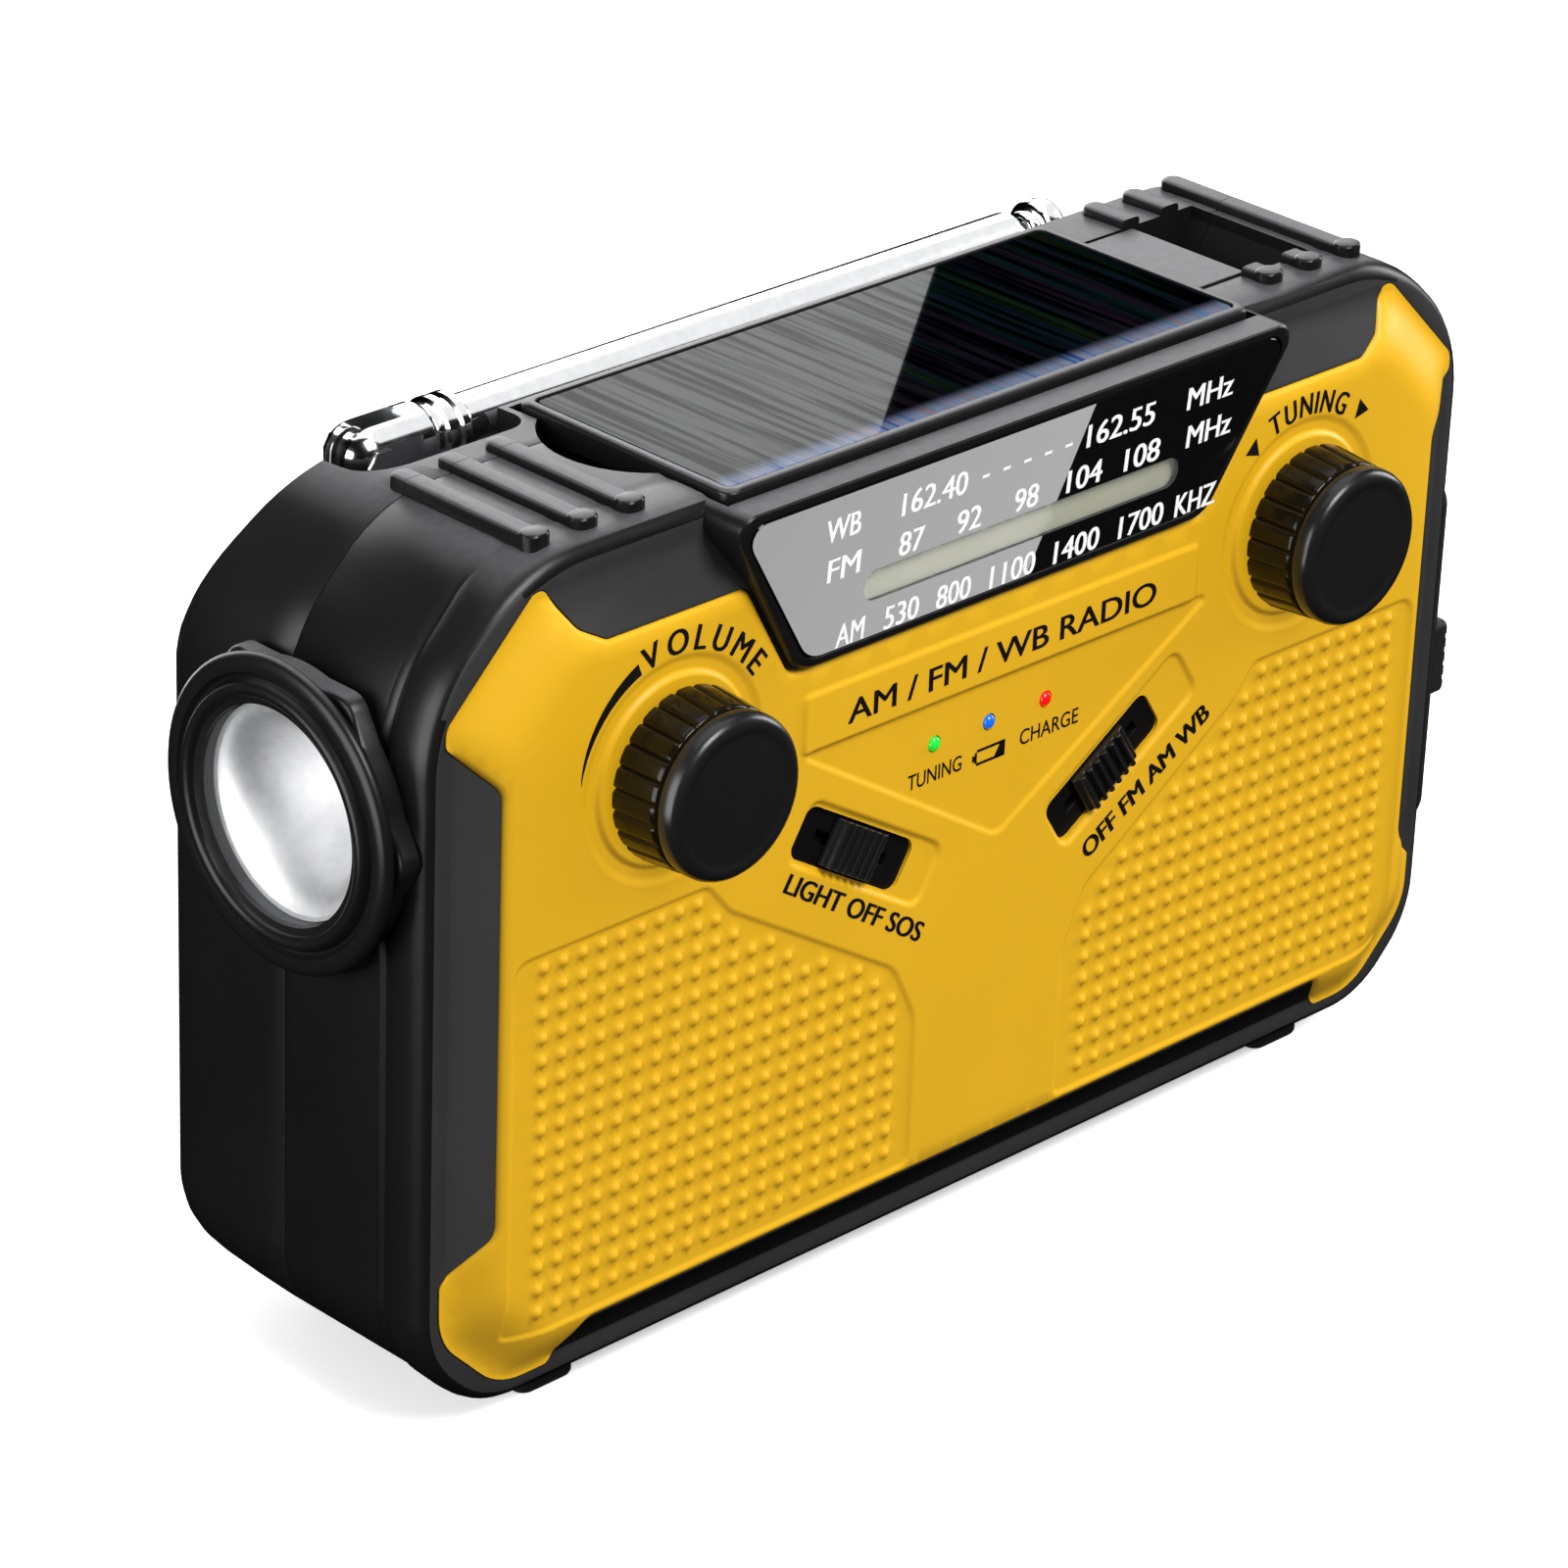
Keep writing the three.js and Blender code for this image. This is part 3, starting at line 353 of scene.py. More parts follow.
def crisp(obj, angle=35):
    """Keeps edges sharper than the angle hard without adding faces."""
    for face in obj.data.polygons:
        face.use_smooth = True
    obj.data.set_sharp_from_angle(angle=math.radians(angle))
    return obj


def finish_piece(obj, body, slot, *replaced):
    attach(obj, body)
    if replaced:
        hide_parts(*replaced)


def rounded(points, radii, steps=6):
    """A closed outline with an arc at each corner that has a radius."""
    if not isinstance(radii, (list, tuple)):
        radii = [radii] * len(points)
    out = []
    for i, (corner, radius) in enumerate(zip(points, radii)):
        p = Vector(corner)
        a = Vector(points[i - 1]) - p
        b = Vector(points[(i + 1) % len(points)]) - p
        longest = min(a.length, b.length) * 0.48
        a.normalize()
        b.normalize()
        half = max(0.05, a.angle(b) / 2)
        if radius <= 0 or abs(half - math.pi / 2) < 0.01:
            out.append(tuple(p))
            continue
        reach = min(radius / math.tan(half), longest)
        centre = p + (a + b).normalized() * (reach * math.tan(half) / math.sin(half))
        start = p + a * reach - centre
        turn = start.angle_signed(p + b * reach - centre)
        for k in range(steps + 1):
            c, s = math.cos(-turn * k / steps), math.sin(-turn * k / steps)
            out.append((centre.x + start.x * c - start.y * s, centre.y + start.x * s + start.y * c))
    return out


def rectangle(x0, x1, z0, z1, radius=0, steps=6):
    return rounded([(x0, z0), (x1, z0), (x1, z1), (x0, z1)], radius, steps)


def offset(points, distance):
    """An anticlockwise outline moved outwards."""
    out = []
    for i, p in enumerate(points):
        a, q, b = Vector(points[i - 1]), Vector(p), Vector(points[(i + 1) % len(points)])
        n0 = Vector(((q - a).y, -(q - a).x)).normalized()
        n1 = Vector(((b - q).y, -(b - q).x)).normalized()
        out.append(tuple(q + (n0 + n1) * (distance / max(0.3, 1 + n0.dot(n1)))))
    return out


def polar(x, z, radius, angle):
    """A point at an angle in radians round (x, z)."""
    return x + radius * math.cos(angle), z + radius * math.sin(angle)


def circle(x, z, r, count=64, turn=0.0):
    return [polar(x, z, r, 2 * math.pi * (k + turn) / count) for k in range(count)]


def loft(name, rings, material=None):
    """Skin over rings of equal length, closed at both ends; each ring is a list of points."""
    n, last = len(rings[0]), len(rings) - 1
    faces = []
    for r in range(last):
        for i in range(n):
            j = (i + 1) % n
            faces.append((r * n + i, r * n + j, (r + 1) * n + j, (r + 1) * n + i))
    faces += [tuple(range(n))[::-1], tuple(last * n + i for i in range(n))]
    return obj_from(name, [p for ring in rings for p in ring], faces, material or BLACK)


def along_axis(axis, t, a, b):
    return {"x": (t, a, b), "y": (a, t, b), "z": (a, b, t)}[axis]


def stack(name, axis, outline, levels, material=None):
    """Skin over outline(inset) at each (inset, distance) of the levels."""
    return loft(name, [[along_axis(axis, t, a, b) for a, b in outline(inset)] for inset, t in levels],
                material)


def prism(axis, outline, low, high, name="tool", material=None):
    return stack(name, axis, lambda _: outline, [(0, low), (0, high)], material)


def brick(x, y, z, material=None):
    return prism("z", rectangle(*x, *y), *z, material=material)


def turned(name, profile, centre, axis, material=None, sides=72, closed=False, wave=None):
    """Turns [radius, distance] points about an axis through the centre; wave(radius, distance, angle)
    alters a radius."""
    verts, faces = [], []
    n = len(profile)
    for s in range(sides):
        angle = 2 * math.pi * s / sides
        for radius, t in profile:
            u, v = polar(0, 0, wave(radius, t, angle) if wave else radius, angle)
            verts.append(tuple(c + p for c, p in zip(centre, along_axis(axis, t, u, v))))
    for s in range(sides):
        e = (s + 1) % sides
        for i in range(n if closed else n - 1):
            j = (i + 1) % n
            faces.append((s * n + i, e * n + i, e * n + j, s * n + j))
    obj = obj_from(name, verts, faces, material or BLACK)
    with edited(obj.data) as bm:
        bmesh.ops.remove_doubles(bm, verts=bm.verts, dist=1e-7)
        bmesh.ops.recalc_face_normals(bm, faces=bm.faces)
    return obj


def drum(radius, low, high, centre, axis, sides, material=None):
    """A plain cylinder, for cutting and joining."""
    return turned("tool", [(0, low), (radius, low), (radius, high), (0, high)], centre, axis, material, sides)


# ---------------------------------------------------------------- outlines of the case
RING_LIST = [(0.9, 3.3), (0.35, 3.55), (-0.1, 4.2), (-0.33, 5.2), (-0.4, 6.6), (-0.33, 8.0), (-0.1, 9.1),
             (0.25, 9.7), (0.5, 10.1), (0.4, 10.5), (0.05, 10.9), (0.0, 11.5), (0.0, 25.3), (0.07, 25.44)]
FACE_FLAT = dict(half=72.2, low=10.7, high=90.6, cut_low=7.0, cut_high=9.5)
FACE_EDGE = dict(half=77.2, low=5.4, high=96.4, cut_low=8.5, cut_high=11.5)
DIAL_LOW, DIAL_HIGH, DIAL_LEAN = 78.8, 99.8, 1.7 / 21.0


def octagon(w, low, high, b, t, radii, steps):
    """A box outline of half width w with cut corners, b at the bottom and t at the top."""
    return rounded([(-w + b, low), (w - b, low), (w, low + b), (w, high - t), (w - t, high), (-w + t, high),
                    (-w, high - t), (-w, low + b)], radii, steps)


def case_outline(inset=0.0, steps=8):
    shrink = inset * (2 - math.sqrt(2))
    return octagon(HALF_WIDTH - inset, BELLY + inset, TOP - inset, CUT_BOTTOM - shrink, CUT_TOP - shrink,
                   [12, 12, 12, 18, 18, 18, 18, 12], steps)


def front_ring(inset, y):
    """The bead and its groove run round the sides and the underside and fade out on the flat deck."""
    flat_inset = {3.3: 1.7, 3.55: 0.95, 4.2: 0.3, 5.2: 0.05}.get(y, min(max(inset, 0.0), 0.1))
    ring = []
    for (x, z), (fx, fz) in zip(case_outline(inset), case_outline(flat_inset)):
        share = min(1.0, max(0.0, (z - 93.0) / 5.0))
        ring.append((x + (fx - x) * share, y, z + (fz - z) * share))
    return ring


def face_octagon(size, grow, y):
    outline = octagon(size["half"] + grow, size["low"] - grow, size["high"] + grow, size["cut_low"],
                      size["cut_high"], 5, 6)
    return [(x, y, z) for x, z in outline]


def dial_outline(inset):
    b, t = 31.7 - inset, 43.8 - inset * 1.3
    low, high = DIAL_LOW + inset, DIAL_HIGH - inset
    return rounded([(-b, low), (b, low), (t, high), (-t, high)], [4, 4, 2, 2], 5)


def dial_front(z):
    """The window's front leans a little forward at its top."""
    return -0.8 - DIAL_LEAN * (z - DIAL_LOW)


def dial_ring(inset, depth):
    return [(x, dial_front(z) + depth, z) for x, z in dial_outline(inset)]


FACE_RIGHT = [(58.7, 10.7), (61.8, 5.2), (68.9, 5.2), (77.4, 13.7), (77.4, 20.4), (72.0, 25.8),
              (72.0, 77.4), (77.4, 83.0), (77.4, 85.0), (65.8, 96.6), (64.4, 96.6), (61.4, 92.0),
              (58.0, 90.2), (38.6, 90.2), (32.0, 78.5)]
FACE_RADII = [1.5, 1.2, 9, 9, 1, 3, 3, 1, 12, 6, 0.8, 2.5, 1.5, 1.5, 2]
FACE_OUTLINE = FACE_RIGHT + [(-x, z) for x, z in reversed(FACE_RIGHT)]


def face_outline(grow=0.0, steps=5):
    return rounded(offset(FACE_OUTLINE, grow), FACE_RADII + FACE_RADII[::-1], steps)


LIGHT = dict(x=-21.2, z=54.4, angle=-30.8, length=19.2, width=6.2)
BAND = dict(x=18.4, z=51.6, angle=32.9, length=18.4, width=6.2)
SWITCH_TRAVEL = 10.0
LED_Z = 63.2
LEDS = [("led_tuning", -9.2, glowing("led_green", srgb(30, 206, 60))),
        ("led_battery", -0.7, glowing("led_blue", srgb(20, 96, 215))),
        ("led_charge", 8.2, glowing("led_red", srgb(225, 20, 18)))]


def switch_outline(s, length=0.0, width=0.0, radius=1.4, shift=0.0):
    half_l, half_w = (s["length"] + length) / 2, (s["width"] + width) / 2
    c, n = math.cos(math.radians(s["angle"])), math.sin(math.radians(s["angle"]))
    corners = [(-half_l, -half_w), (half_l, -half_w), (half_l, half_w), (-half_l, half_w)]
    return rounded([(s["x"] + (a + shift) * c - b * n, s["z"] + (a + shift) * n + b * c) for a, b in corners],
                   radius, 4)


# ---------------------------------------------------------------- case shells
RIB_SPOTS = [(*sorted((side * (47.5 + 6.6 * i), side * (50.5 + 6.6 * i))), 28.4 if side < 0 else 35.2)
             for side in (-1, 1) for i in range(3)]
RIB_FRONT = 6.3
SCREW_SPOTS = ((-69, 34), (-69, 67), (70.5, 70), (69, 15))


def deck_rib(x0, x1, y0, y1, round_front, round_back):
    """A long rib with a domed section, with a round end or a plain one where it meets the other shell."""
    r, middle = (x1 - x0) / 2, (x0 + x1) / 2
    rings = []
    for share, z in ((1.0, 99.3), (1.0, 100.55), (0.93, 100.8), (0.78, 100.94), (0.5, 101.0)):
        ring = []
        for k in range(24):
            u, v = polar(0, 0, share * r, 2 * math.pi * k / 24)
            if k <= 12:
                y = y1 - r + v if round_back else y1
            else:
                y = y0 + r + v if round_front else y0
            ring.append((middle + u, y, z))
        rings.append(ring)
    return loft("tool", rings)


def rib_tip(x0, x1):
    """The small raised stop at a rib's front end."""
    def outline(inset):
        return rectangle(x0 - 0.1 + inset, x1 + 0.1 - inset, 5.9 + inset, 8.6 - inset, 1.2)
    return stack("tool", "z", outline, [(0, 99.4), (0, 101.0), (0.12, 101.2), (0.4, 101.3)])


def slope_cut(inset):
    """What lies behind the leaning upper back."""
    low, out = 60, 80
    return prism("x", [(DEPTH + 1 - inset, low), (DEPTH + 1 - inset, SLOPE_Z), (SLOPE_TOP_Y - inset, TOP),
                       (SLOPE_TOP_Y - inset - 6, 120), (out, 120), (out, low)], -90, 90)


def well():
    """The hollow beside the hinge, with a ramp at its far side."""
    return prism("y", [(38.7, 91.0), (54.2, 91.0), (59.4, 98.6), (59.4, 106), (38.7, 106)], 10.1, 28.3)


def shared_cuts():
    """The openings that both shells make together: lid bed, hinge well, finger notch and lamp."""
    return [brick((-40.7, 40.7), (1.3, 34.8), (97.3, 106)), well(),
            prism("z", circle(-33.9, 21, 11.5, 48), 94.6, 106),
            drum(13.6, -95, -70, (0, LAMP_Y, LAMP_Z), "x", 48)]


def front_shell():
    shell = loft("front_case", [front_ring(i, y) for i, y in RING_LIST])
    block = loft("tool", [face_octagon(FACE_FLAT, -0.15, 0.5), face_octagon(FACE_FLAT, 0.15, 0.58),
                          face_octagon(FACE_EDGE, 0.25, 3.9), face_octagon(FACE_EDGE, 0.25, 5.0)])
    housing = loft("tool", [dial_ring(0.6, 0.02), dial_ring(0.22, 0.1), dial_ring(0.03, 0.35),
                            dial_ring(0, 0.7), [(x, 5.6, z) for x, z in dial_outline(0)]])
    combine(shell, [block, housing], "UNION")
    roof = brick((-48, 61.6), (4.1, 27), (88.8, 112))
    cavity = combine(prism("y", case_outline(2.2, 7), 5.1, 27), [roof])
    holes = [drum(3.6, 0, 12, (s * KNOB_X, -0.5, KNOB_Z), "y", 32) for s in (-1, 1)]
    holes += [prism("y", switch_outline(s, 8, 3), 2.5, 6) for s in (LIGHT, BAND)]
    holes += [drum(1.2, 2, 7, (x, 0, LED_Z), "y", 16) for _, x, _ in LEDS]
    joint = RING_LIST[-1][1]
    ribs = [deck_rib(x0, x1, RIB_FRONT, joint, True, False) for x0, x1, _ in RIB_SPOTS]
    ribs += [rib_tip(x0, x1) for x0, x1, _ in RIB_SPOTS]
    combine(shell, [cavity, brick((-44, 40), (5.1, 27), (80, 95.1)),
                    prism("y", face_outline(0.15), -5, 3.4), prism("y", dial_outline(3.0), -5, 12),
                    loft("tool", [dial_ring(1.0, -1.5), dial_ring(1.0, 1.3)]),
                    brick((70, 90), (12.7, 20.3), (44.7, 59.8)),
                    brick((70, 90), (14.2, 18.9), (30.4, 40.6)), *holes, *shared_cuts()])
    combine(shell, ribs, "UNION")
    return combine(shell, [well()])


def rear_shell():
    rows = [(0.07, 25.52), (0.0, 25.66), (0.0, 30), (0.15, 35), (0.4, 39.5), (0.75, 42.3), (1.25, 44.0),
            (1.9, 45.2), (2.9, 46.0), (4.0, 46.4), (5.2, DEPTH)]
    at_crank = (CRANK_X, 0, CRANK_Z)
    shell = combine(stack("rear_case", "y", case_outline, rows), [slope_cut(0)])
    inner = stack("tool", "y", case_outline, [(2.2, 24), (3.2, 39.5), (7, 44.3)])
    combine(inner, [brick((-65.8, 79.5), (27.8, 47), (89.3, 112)),
                    brick((-48, 61.6), (24, 37.3), (88.8, 112)), slope_cut(2.2),
                    drum(DISH_R + 2.2, 38.0, 47, at_crank, "y", 64)])
    grille = []
    for dz in (-12, -8, -4, 0, 4, 8, 12):
        half = math.sqrt(14.5 ** 2 - dz ** 2)
        grille.append(prism("y", rectangle(-38 - half, -38 + half, 55.2 + dz, 56.8 + dz, 0.75, 4), 41, 49))
    joint = rows[0][1]
    ribs = [deck_rib(x0, x1, joint, back, False, True) for x0, x1, back in RIB_SPOTS]
    combine(shell, [
        inner,
        turned("tool", [(0, DISH_FLOOR), (DISH_R - 1.5, DISH_FLOOR), (DISH_R - 0.4, DISH_FLOOR + 0.5),
                        (DISH_R, DISH_FLOOR + 1.5), (DISH_R, 52), (0, 52)], at_crank, "y", sides=96),
        drum(4.3, 20, 48, at_crank, "y", 32),
        prism("z", rounded([(-63.6, 30), (-41.5, 30), (-41.5, 60), (-63.6, 60)], [5, 3, 0, 0]), 91.5, 106),
        brick((-42.5, 85), (35.6, 60), (93.6, 106)),
        brick((-69.3, 0.3), (44.2, 52), (7.7, 28.8)),
        brick((-67, -0.5), (38.5, 46.5), (9.6, 27.3)),
        *[drum(2.3, 45.3, 50, (x, 0, z), "y", 24) for x, z in SCREW_SPOTS],
        *grille, *shared_cuts()])
    combine(shell, ribs, "UNION")
    return combine(shell, [well()])


def painted_sheen_pads(shell):
    """Paints the forward slopes beside and over the yellow plate a paler, rougher grey; the paler grey is a
    painted sheen.
    """
    shell.data.materials.append(BLACK_PAD_PAINTED_SHEEN)
    for face in shell.data.polygons:
        x, y, z = face.center / MM - SHIFT
        if abs(x) < FACE_EDGE["half"] and FACE_FLAT["low"] < z < FACE_EDGE["high"] and 0.3 < y < 4.0:
            if face.normal.y < -0.8:
                face.material_index = len(shell.data.materials) - 1
    return shell


finish_piece(painted_sheen_pads(crisp(clean(front_shell()), 32)), "case", "black_plastic", "front_shell")
finish_piece(crisp(clean(rear_shell()), 34), "case", "black_plastic", "rear_shell")


# ---------------------------------------------------------------- yellow face
DOT_PITCH, DOT_R = 2.74, 0.76
PANEL_BACK, PANEL_LEAST = 3.3, 0.15
STRIP = rectangle(-29.8, 31.6, 68.4, 75.2, 0.6, 3)
TRIANGLE = rounded([(1.2, 48.9), (34.6, 68.4), (-30.2, 68.4)], [2.2, 0.5, 0.5], 5)
DOT_FIELDS = [
    rounded([(-70.4, 57.2), (-70.4, 11.8), (-10.6, 11.8), (-10.6, 30.5), (-14.2, 37.6), (-39.6, 53.2),
             (-43, 57.2)], [2, 1, 1, 6, 5, 4, 2]),
    rounded([(70.4, 57.2), (43, 57.2), (39.6, 53.2), (16.2, 37.6), (13.2, 30.5), (13.2, 11.8),
             (70.4, 11.8)], [2, 2, 4, 5, 6, 1, 1]),
]
# outline and the depth it is sunk by; the strip stands proud
FEATURES = [(STRIP, -0.3), (TRIANGLE, 0.3), (switch_outline(LIGHT, 4.6, 1.2, 1.6, 2.1), 0.4),
            (switch_outline(BAND, 6.2, 1.2, 1.6, 2.9), 0.4), (DOT_FIELDS[0], 0.3), (DOT_FIELDS[1], 0.3)]
FEATURE_EDGE = 0.5
PANEL_EDGE = face_outline(0.0, 7)


def side_planes():
    """Direction, start and end of the slope along each side and corner of the face."""
    low, high = (-FACE_FLAT["low"], -FACE_EDGE["low"]), (FACE_FLAT["high"], FACE_EDGE["high"])
    sides = (FACE_FLAT["half"], FACE_EDGE["half"])
    planes = [((1, 0), *sides), ((-1, 0), *sides), ((0, -1), *low), ((0, 1), *high)]
    r = math.sqrt(0.5)
    for side in (-1, 1):
        for up, edges, cut in ((-1, low, "cut_low"), (1, high, "cut_high")):
            planes.append(((side * r, up * r), *[(w + e - size[cut]) * r for w, e, size
                                                 in zip(sides, edges, (FACE_FLAT, FACE_EDGE))]))
    return planes


SIDE_PLANES = side_planes()


def smooth_max(a, b, k):
    h = np.clip(0.5 + 0.5 * (a - b) / k, 0, 1)
    return b * (1 - h) + a * h + k * h * (1 - h)


def smooth_step(t):
    t = np.clip(t, 0, 1)
    return t * t * (3 - 2 * t)


def signed_distance(px, pz, polygon):
    """Distance to a closed polygon, negative inside."""
    best = np.full(px.shape, 1e9)
    inside = np.zeros(px.shape, bool)
    for (x0, z0), (x1, z1) in zip(polygon, polygon[1:] + polygon[:1]):
        ex, ez = x1 - x0, z1 - z0
        length = ex * ex + ez * ez
        if length < 1e-12:
            continue
        t = np.clip(((px - x0) * ex + (pz - z0) * ez) / length, 0, 1)
        best = np.minimum(best, (px - x0 - t * ex) ** 2 + (pz - z0 - t * ez) ** 2)
        if z0 != z1:
            inside ^= ((z0 > pz) != (z1 > pz)) & (px < ex * (pz - z0) / ez + x0)
    return np.sqrt(best) * np.where(inside, -1, 1)


def columns(points):
    return np.array([p[0] for p in points]), np.array([p[1] for p in points])


def dots():
    """Middles of the small raised dots in both fields."""
    out = []
    for field, x_first, direction in ((DOT_FIELDS[0], -66.2, 1), (DOT_FIELDS[1], 66.4, -1)):
        grid = [(x_first + direction * DOT_PITCH * i, 14.4 + DOT_PITCH * j)
                for i in range(20) for j in range(16)]
        px, pz = columns(grid)
        keep = signed_distance(px, pz, field) < -1.5
        keep &= np.hypot(px - np.sign(px) * KNOB_X, pz - KNOB_Z) > 17.2
        out += [g for g, k in zip(grid, keep) if k]
    return out


DOTS = dots()


def panel_depth(px, pz, with_dots=True):
    """How far back the yellow face lies at each point."""
    y = np.zeros(px.shape)
    for (nx, nz), flat, edge in SIDE_PLANES:
        y = smooth_max(y, 3.6 * (px * nx + pz * nz - flat) / (edge - flat), 1.1)
    for side in (-1, 1):
        r = np.hypot(px - side * KNOB_X, pz - KNOB_Z)
        y += 0.3 * smooth_step((12.9 - r) / 0.8)
        y -= 0.5 * smooth_step((11.0 - r) / 0.5)
    for outline, depth in FEATURES:
        y += depth * smooth_step(0.5 - signed_distance(px, pz, outline) / FEATURE_EDGE)
    edge = -signed_distance(px, pz, PANEL_EDGE)
    y += 0.45 * np.clip(1 - edge / 0.6, 0, 1) ** 2
    if with_dots:
        for x, z in DOTS:
            near = (np.abs(px - x) < DOT_R) & (np.abs(pz - z) < DOT_R)
            r2 = ((px[near] - x) ** 2 + (pz[near] - z) ** 2) / DOT_R ** 2
            y[near] -= 0.5 * np.clip(1 - r2, 0, 1) ** 0.75
    return np.minimum(y, PANEL_BACK - PANEL_LEAST)


def along(polygon, spacing):
    """The polygon with points added where its edges are long."""
    out = []
    for a, b in zip(polygon, polygon[1:] + polygon[:1]):
        n = max(1, round(math.dist(a, b) / spacing))
        out += [(a[0] + (b[0] - a[0]) * k / n, a[1] + (b[1] - a[1]) * k / n) for k in range(n)]
    return out


def between(px, pz, outer, holes):
    """Which points lie inside the outer outline and outside the holes."""
    inside = signed_distance(px, pz, outer) < 0
    for hole in holes:
        inside &= signed_distance(px, pz, hole) > 0
    return inside


def centres(faces, xs, zs):
    return (np.array([sum(xs[i] for i in f) / len(f) for f in faces]),
            np.array([sum(zs[i] for i in f) / len(f) for f in faces]))


def rim_edges(faces):
    """The directed edges that only one face uses."""
    uses = {}
    for f in faces:
        for a, b in zip(f, f[1:] + f[:1]):
            uses.setdefault((min(a, b), max(a, b)), []).append((a, b))
    return [found[0] for found in uses.values() if len(found) == 1]


def face_points(loops):
    """The free points of the face's mesh: a grid, and rings round each dot."""
    taken = np.array([p for loop in loops for p in loop])
    grid = [(x * 1.5, 4 + z * 1.5) for x in range(-52, 53) for z in range(63)]
    grid += [(x + DOT_PITCH / 2, z + DOT_PITCH / 2) for x, z in DOTS]
    px, pz = columns(grid)
    keep = signed_distance(px, pz, PANEL_EDGE) < -0.8
    dot_x, dot_z = columns(DOTS)
    points = []
    for x, z, inside in zip(px, pz, keep):
        if inside and np.hypot(taken[:, 0] - x, taken[:, 1] - z).min() > 0.5:
            if np.hypot(dot_x - x, dot_z - z).min() > 1.3:
                points.append((x, z))
    for x, z in DOTS:
        points.append((x, z))
        for r, turn in ((0.36, 0.0), (0.6, 0.5), (DOT_R, 0.0), (DOT_R + 0.16, 0.5)):
            points += circle(x, z, r, 8, turn)
    return points


def face_panel():
    """The front as a fine mesh over its outline, with walls round its edges and a flat back."""
    loops = [along(PANEL_EDGE, 1.2), along(offset(PANEL_EDGE, -0.25), 1.2),
             along(offset(PANEL_EDGE, -0.6), 1.2)]
    holes = [circle(s * KNOB_X, KNOB_Z, 3.8, 24) for s in (-1, 1)]
    holes += [along(switch_outline(s), 1.5) for s in (LIGHT, BAND)]
    holes += [circle(x, LED_Z, 1.0, 16) for _, x, _ in LEDS]
    for outline, _ in FEATURES:
        for d in (-0.5, -0.25, 0, 0.25, 0.5):
            loops.append(along(offset(outline, d), 1.4))
    for s in (-1, 1):
        for r in (10.3, 10.5, 10.75, 11.0, 11.2, 11.9, 12.1, 12.5, 12.9, 13.1):
            loops.append(circle(s * KNOB_X, KNOB_Z, r, 72))
    points, edges = [], []
    for loop in loops + holes:
        start = len(points)
        points += loop
        edges += [(start + i, start + (i + 1) % len(loop)) for i in range(len(loop))]
    points += face_points(loops + holes)
    verts, _, faces, *_ = delaunay_2d_cdt([Vector(p) for p in points], edges, [], 0, 1e-5)
    vx, vz = columns(verts)
    faces = [f for f in faces if len(f) == 3]
    faces = [f for f, k in zip(faces, between(*centres(faces, vx, vz), loops[0], holes)) if k]
    y = panel_depth(vx, vz)
    used = sorted({i for f in faces for i in f})
    index = {v: k for k, v in enumerate(used)}
    all_verts = [(vx[i], y[i], vz[i]) for i in used]
    faces = [tuple(index[i] for i in f) for f in faces]

    rim = [(min(e), max(e)) for e in rim_edges(faces)]
    back_of = {}
    for i in (i for e in rim for i in e):
        if i not in back_of:
            back_of[i] = len(all_verts)
            all_verts.append((all_verts[i][0], PANEL_BACK, all_verts[i][2]))
    walls = [(a, b, back_of[b], back_of[a]) for a, b in rim]
    order = list(back_of)
    where = {v: k for k, v in enumerate(order)}
    flat = [Vector((all_verts[i][0], all_verts[i][2])) for i in order]
    ties = [(where[a], where[b]) for a, b in rim]
    back_verts, _, back, origin, *_ = delaunay_2d_cdt(flat, ties, [], 0, 1e-7)
    inside = between(*centres(back, *columns(back_verts)), loops[0], holes)
    back = [tuple(back_of[order[origin[i][0]]] for i in f) for f, k in zip(back, inside) if k]
    return obj_from("face_front", all_verts, faces + walls + back, YELLOW)


finish_piece(crisp(face_panel(), 70), "case", "yellow_plastic", "face_panel")


# ---------------------------------------------------------------- lettering
def glyphs(text):
    """Flat text as vertices and faces."""
    curve = bpy.data.curves.new("text", "FONT")
    curve.body = text
    curve.size = 1.0
    curve.resolution_u = 5
    obj = bpy.data.objects.new("text", curve)
    bpy.context.scene.collection.objects.link(obj)
    graph = bpy.context.evaluated_depsgraph_get()
    graph.update()
    mesh = bpy.data.meshes.new_from_object(obj.evaluated_get(graph))
    verts = [v.co.copy() for v in mesh.vertices]
    faces = [tuple(p.vertices) for p in mesh.polygons]
    bpy.data.objects.remove(obj)
    bpy.data.meshes.remove(mesh)
    return verts, faces


CAPITAL = max(v.y for v in glyphs("H")[0])


def refined(points, faces, longest=0.5):
    """Triangles with no long edges, so that print follows a curved surface."""
    bm = bmesh.new()
    verts = [bm.verts.new((x, z, 0)) for x, z in points]
    for face in faces:
        try:
            bm.faces.new([verts[i] for i in face])
        except ValueError:
            continue
    bmesh.ops.remove_doubles(bm, verts=bm.verts, dist=1e-5)
    bmesh.ops.triangulate(bm, faces=bm.faces)
    for _ in range(6):
        long = [e for e in bm.edges if e.calc_length() > longest]
        if not long:
            break
        bmesh.ops.subdivide_edges(bm, edges=long, cuts=1)
        bmesh.ops.triangulate(bm, faces=[f for f in bm.faces if len(f.verts) > 3])
    bm.verts.index_update()
    out = [(v.co.x, v.co.y) for v in bm.verts], [tuple(v.index for v in f.verts) for f in bm.faces]
    bm.free()
    return out


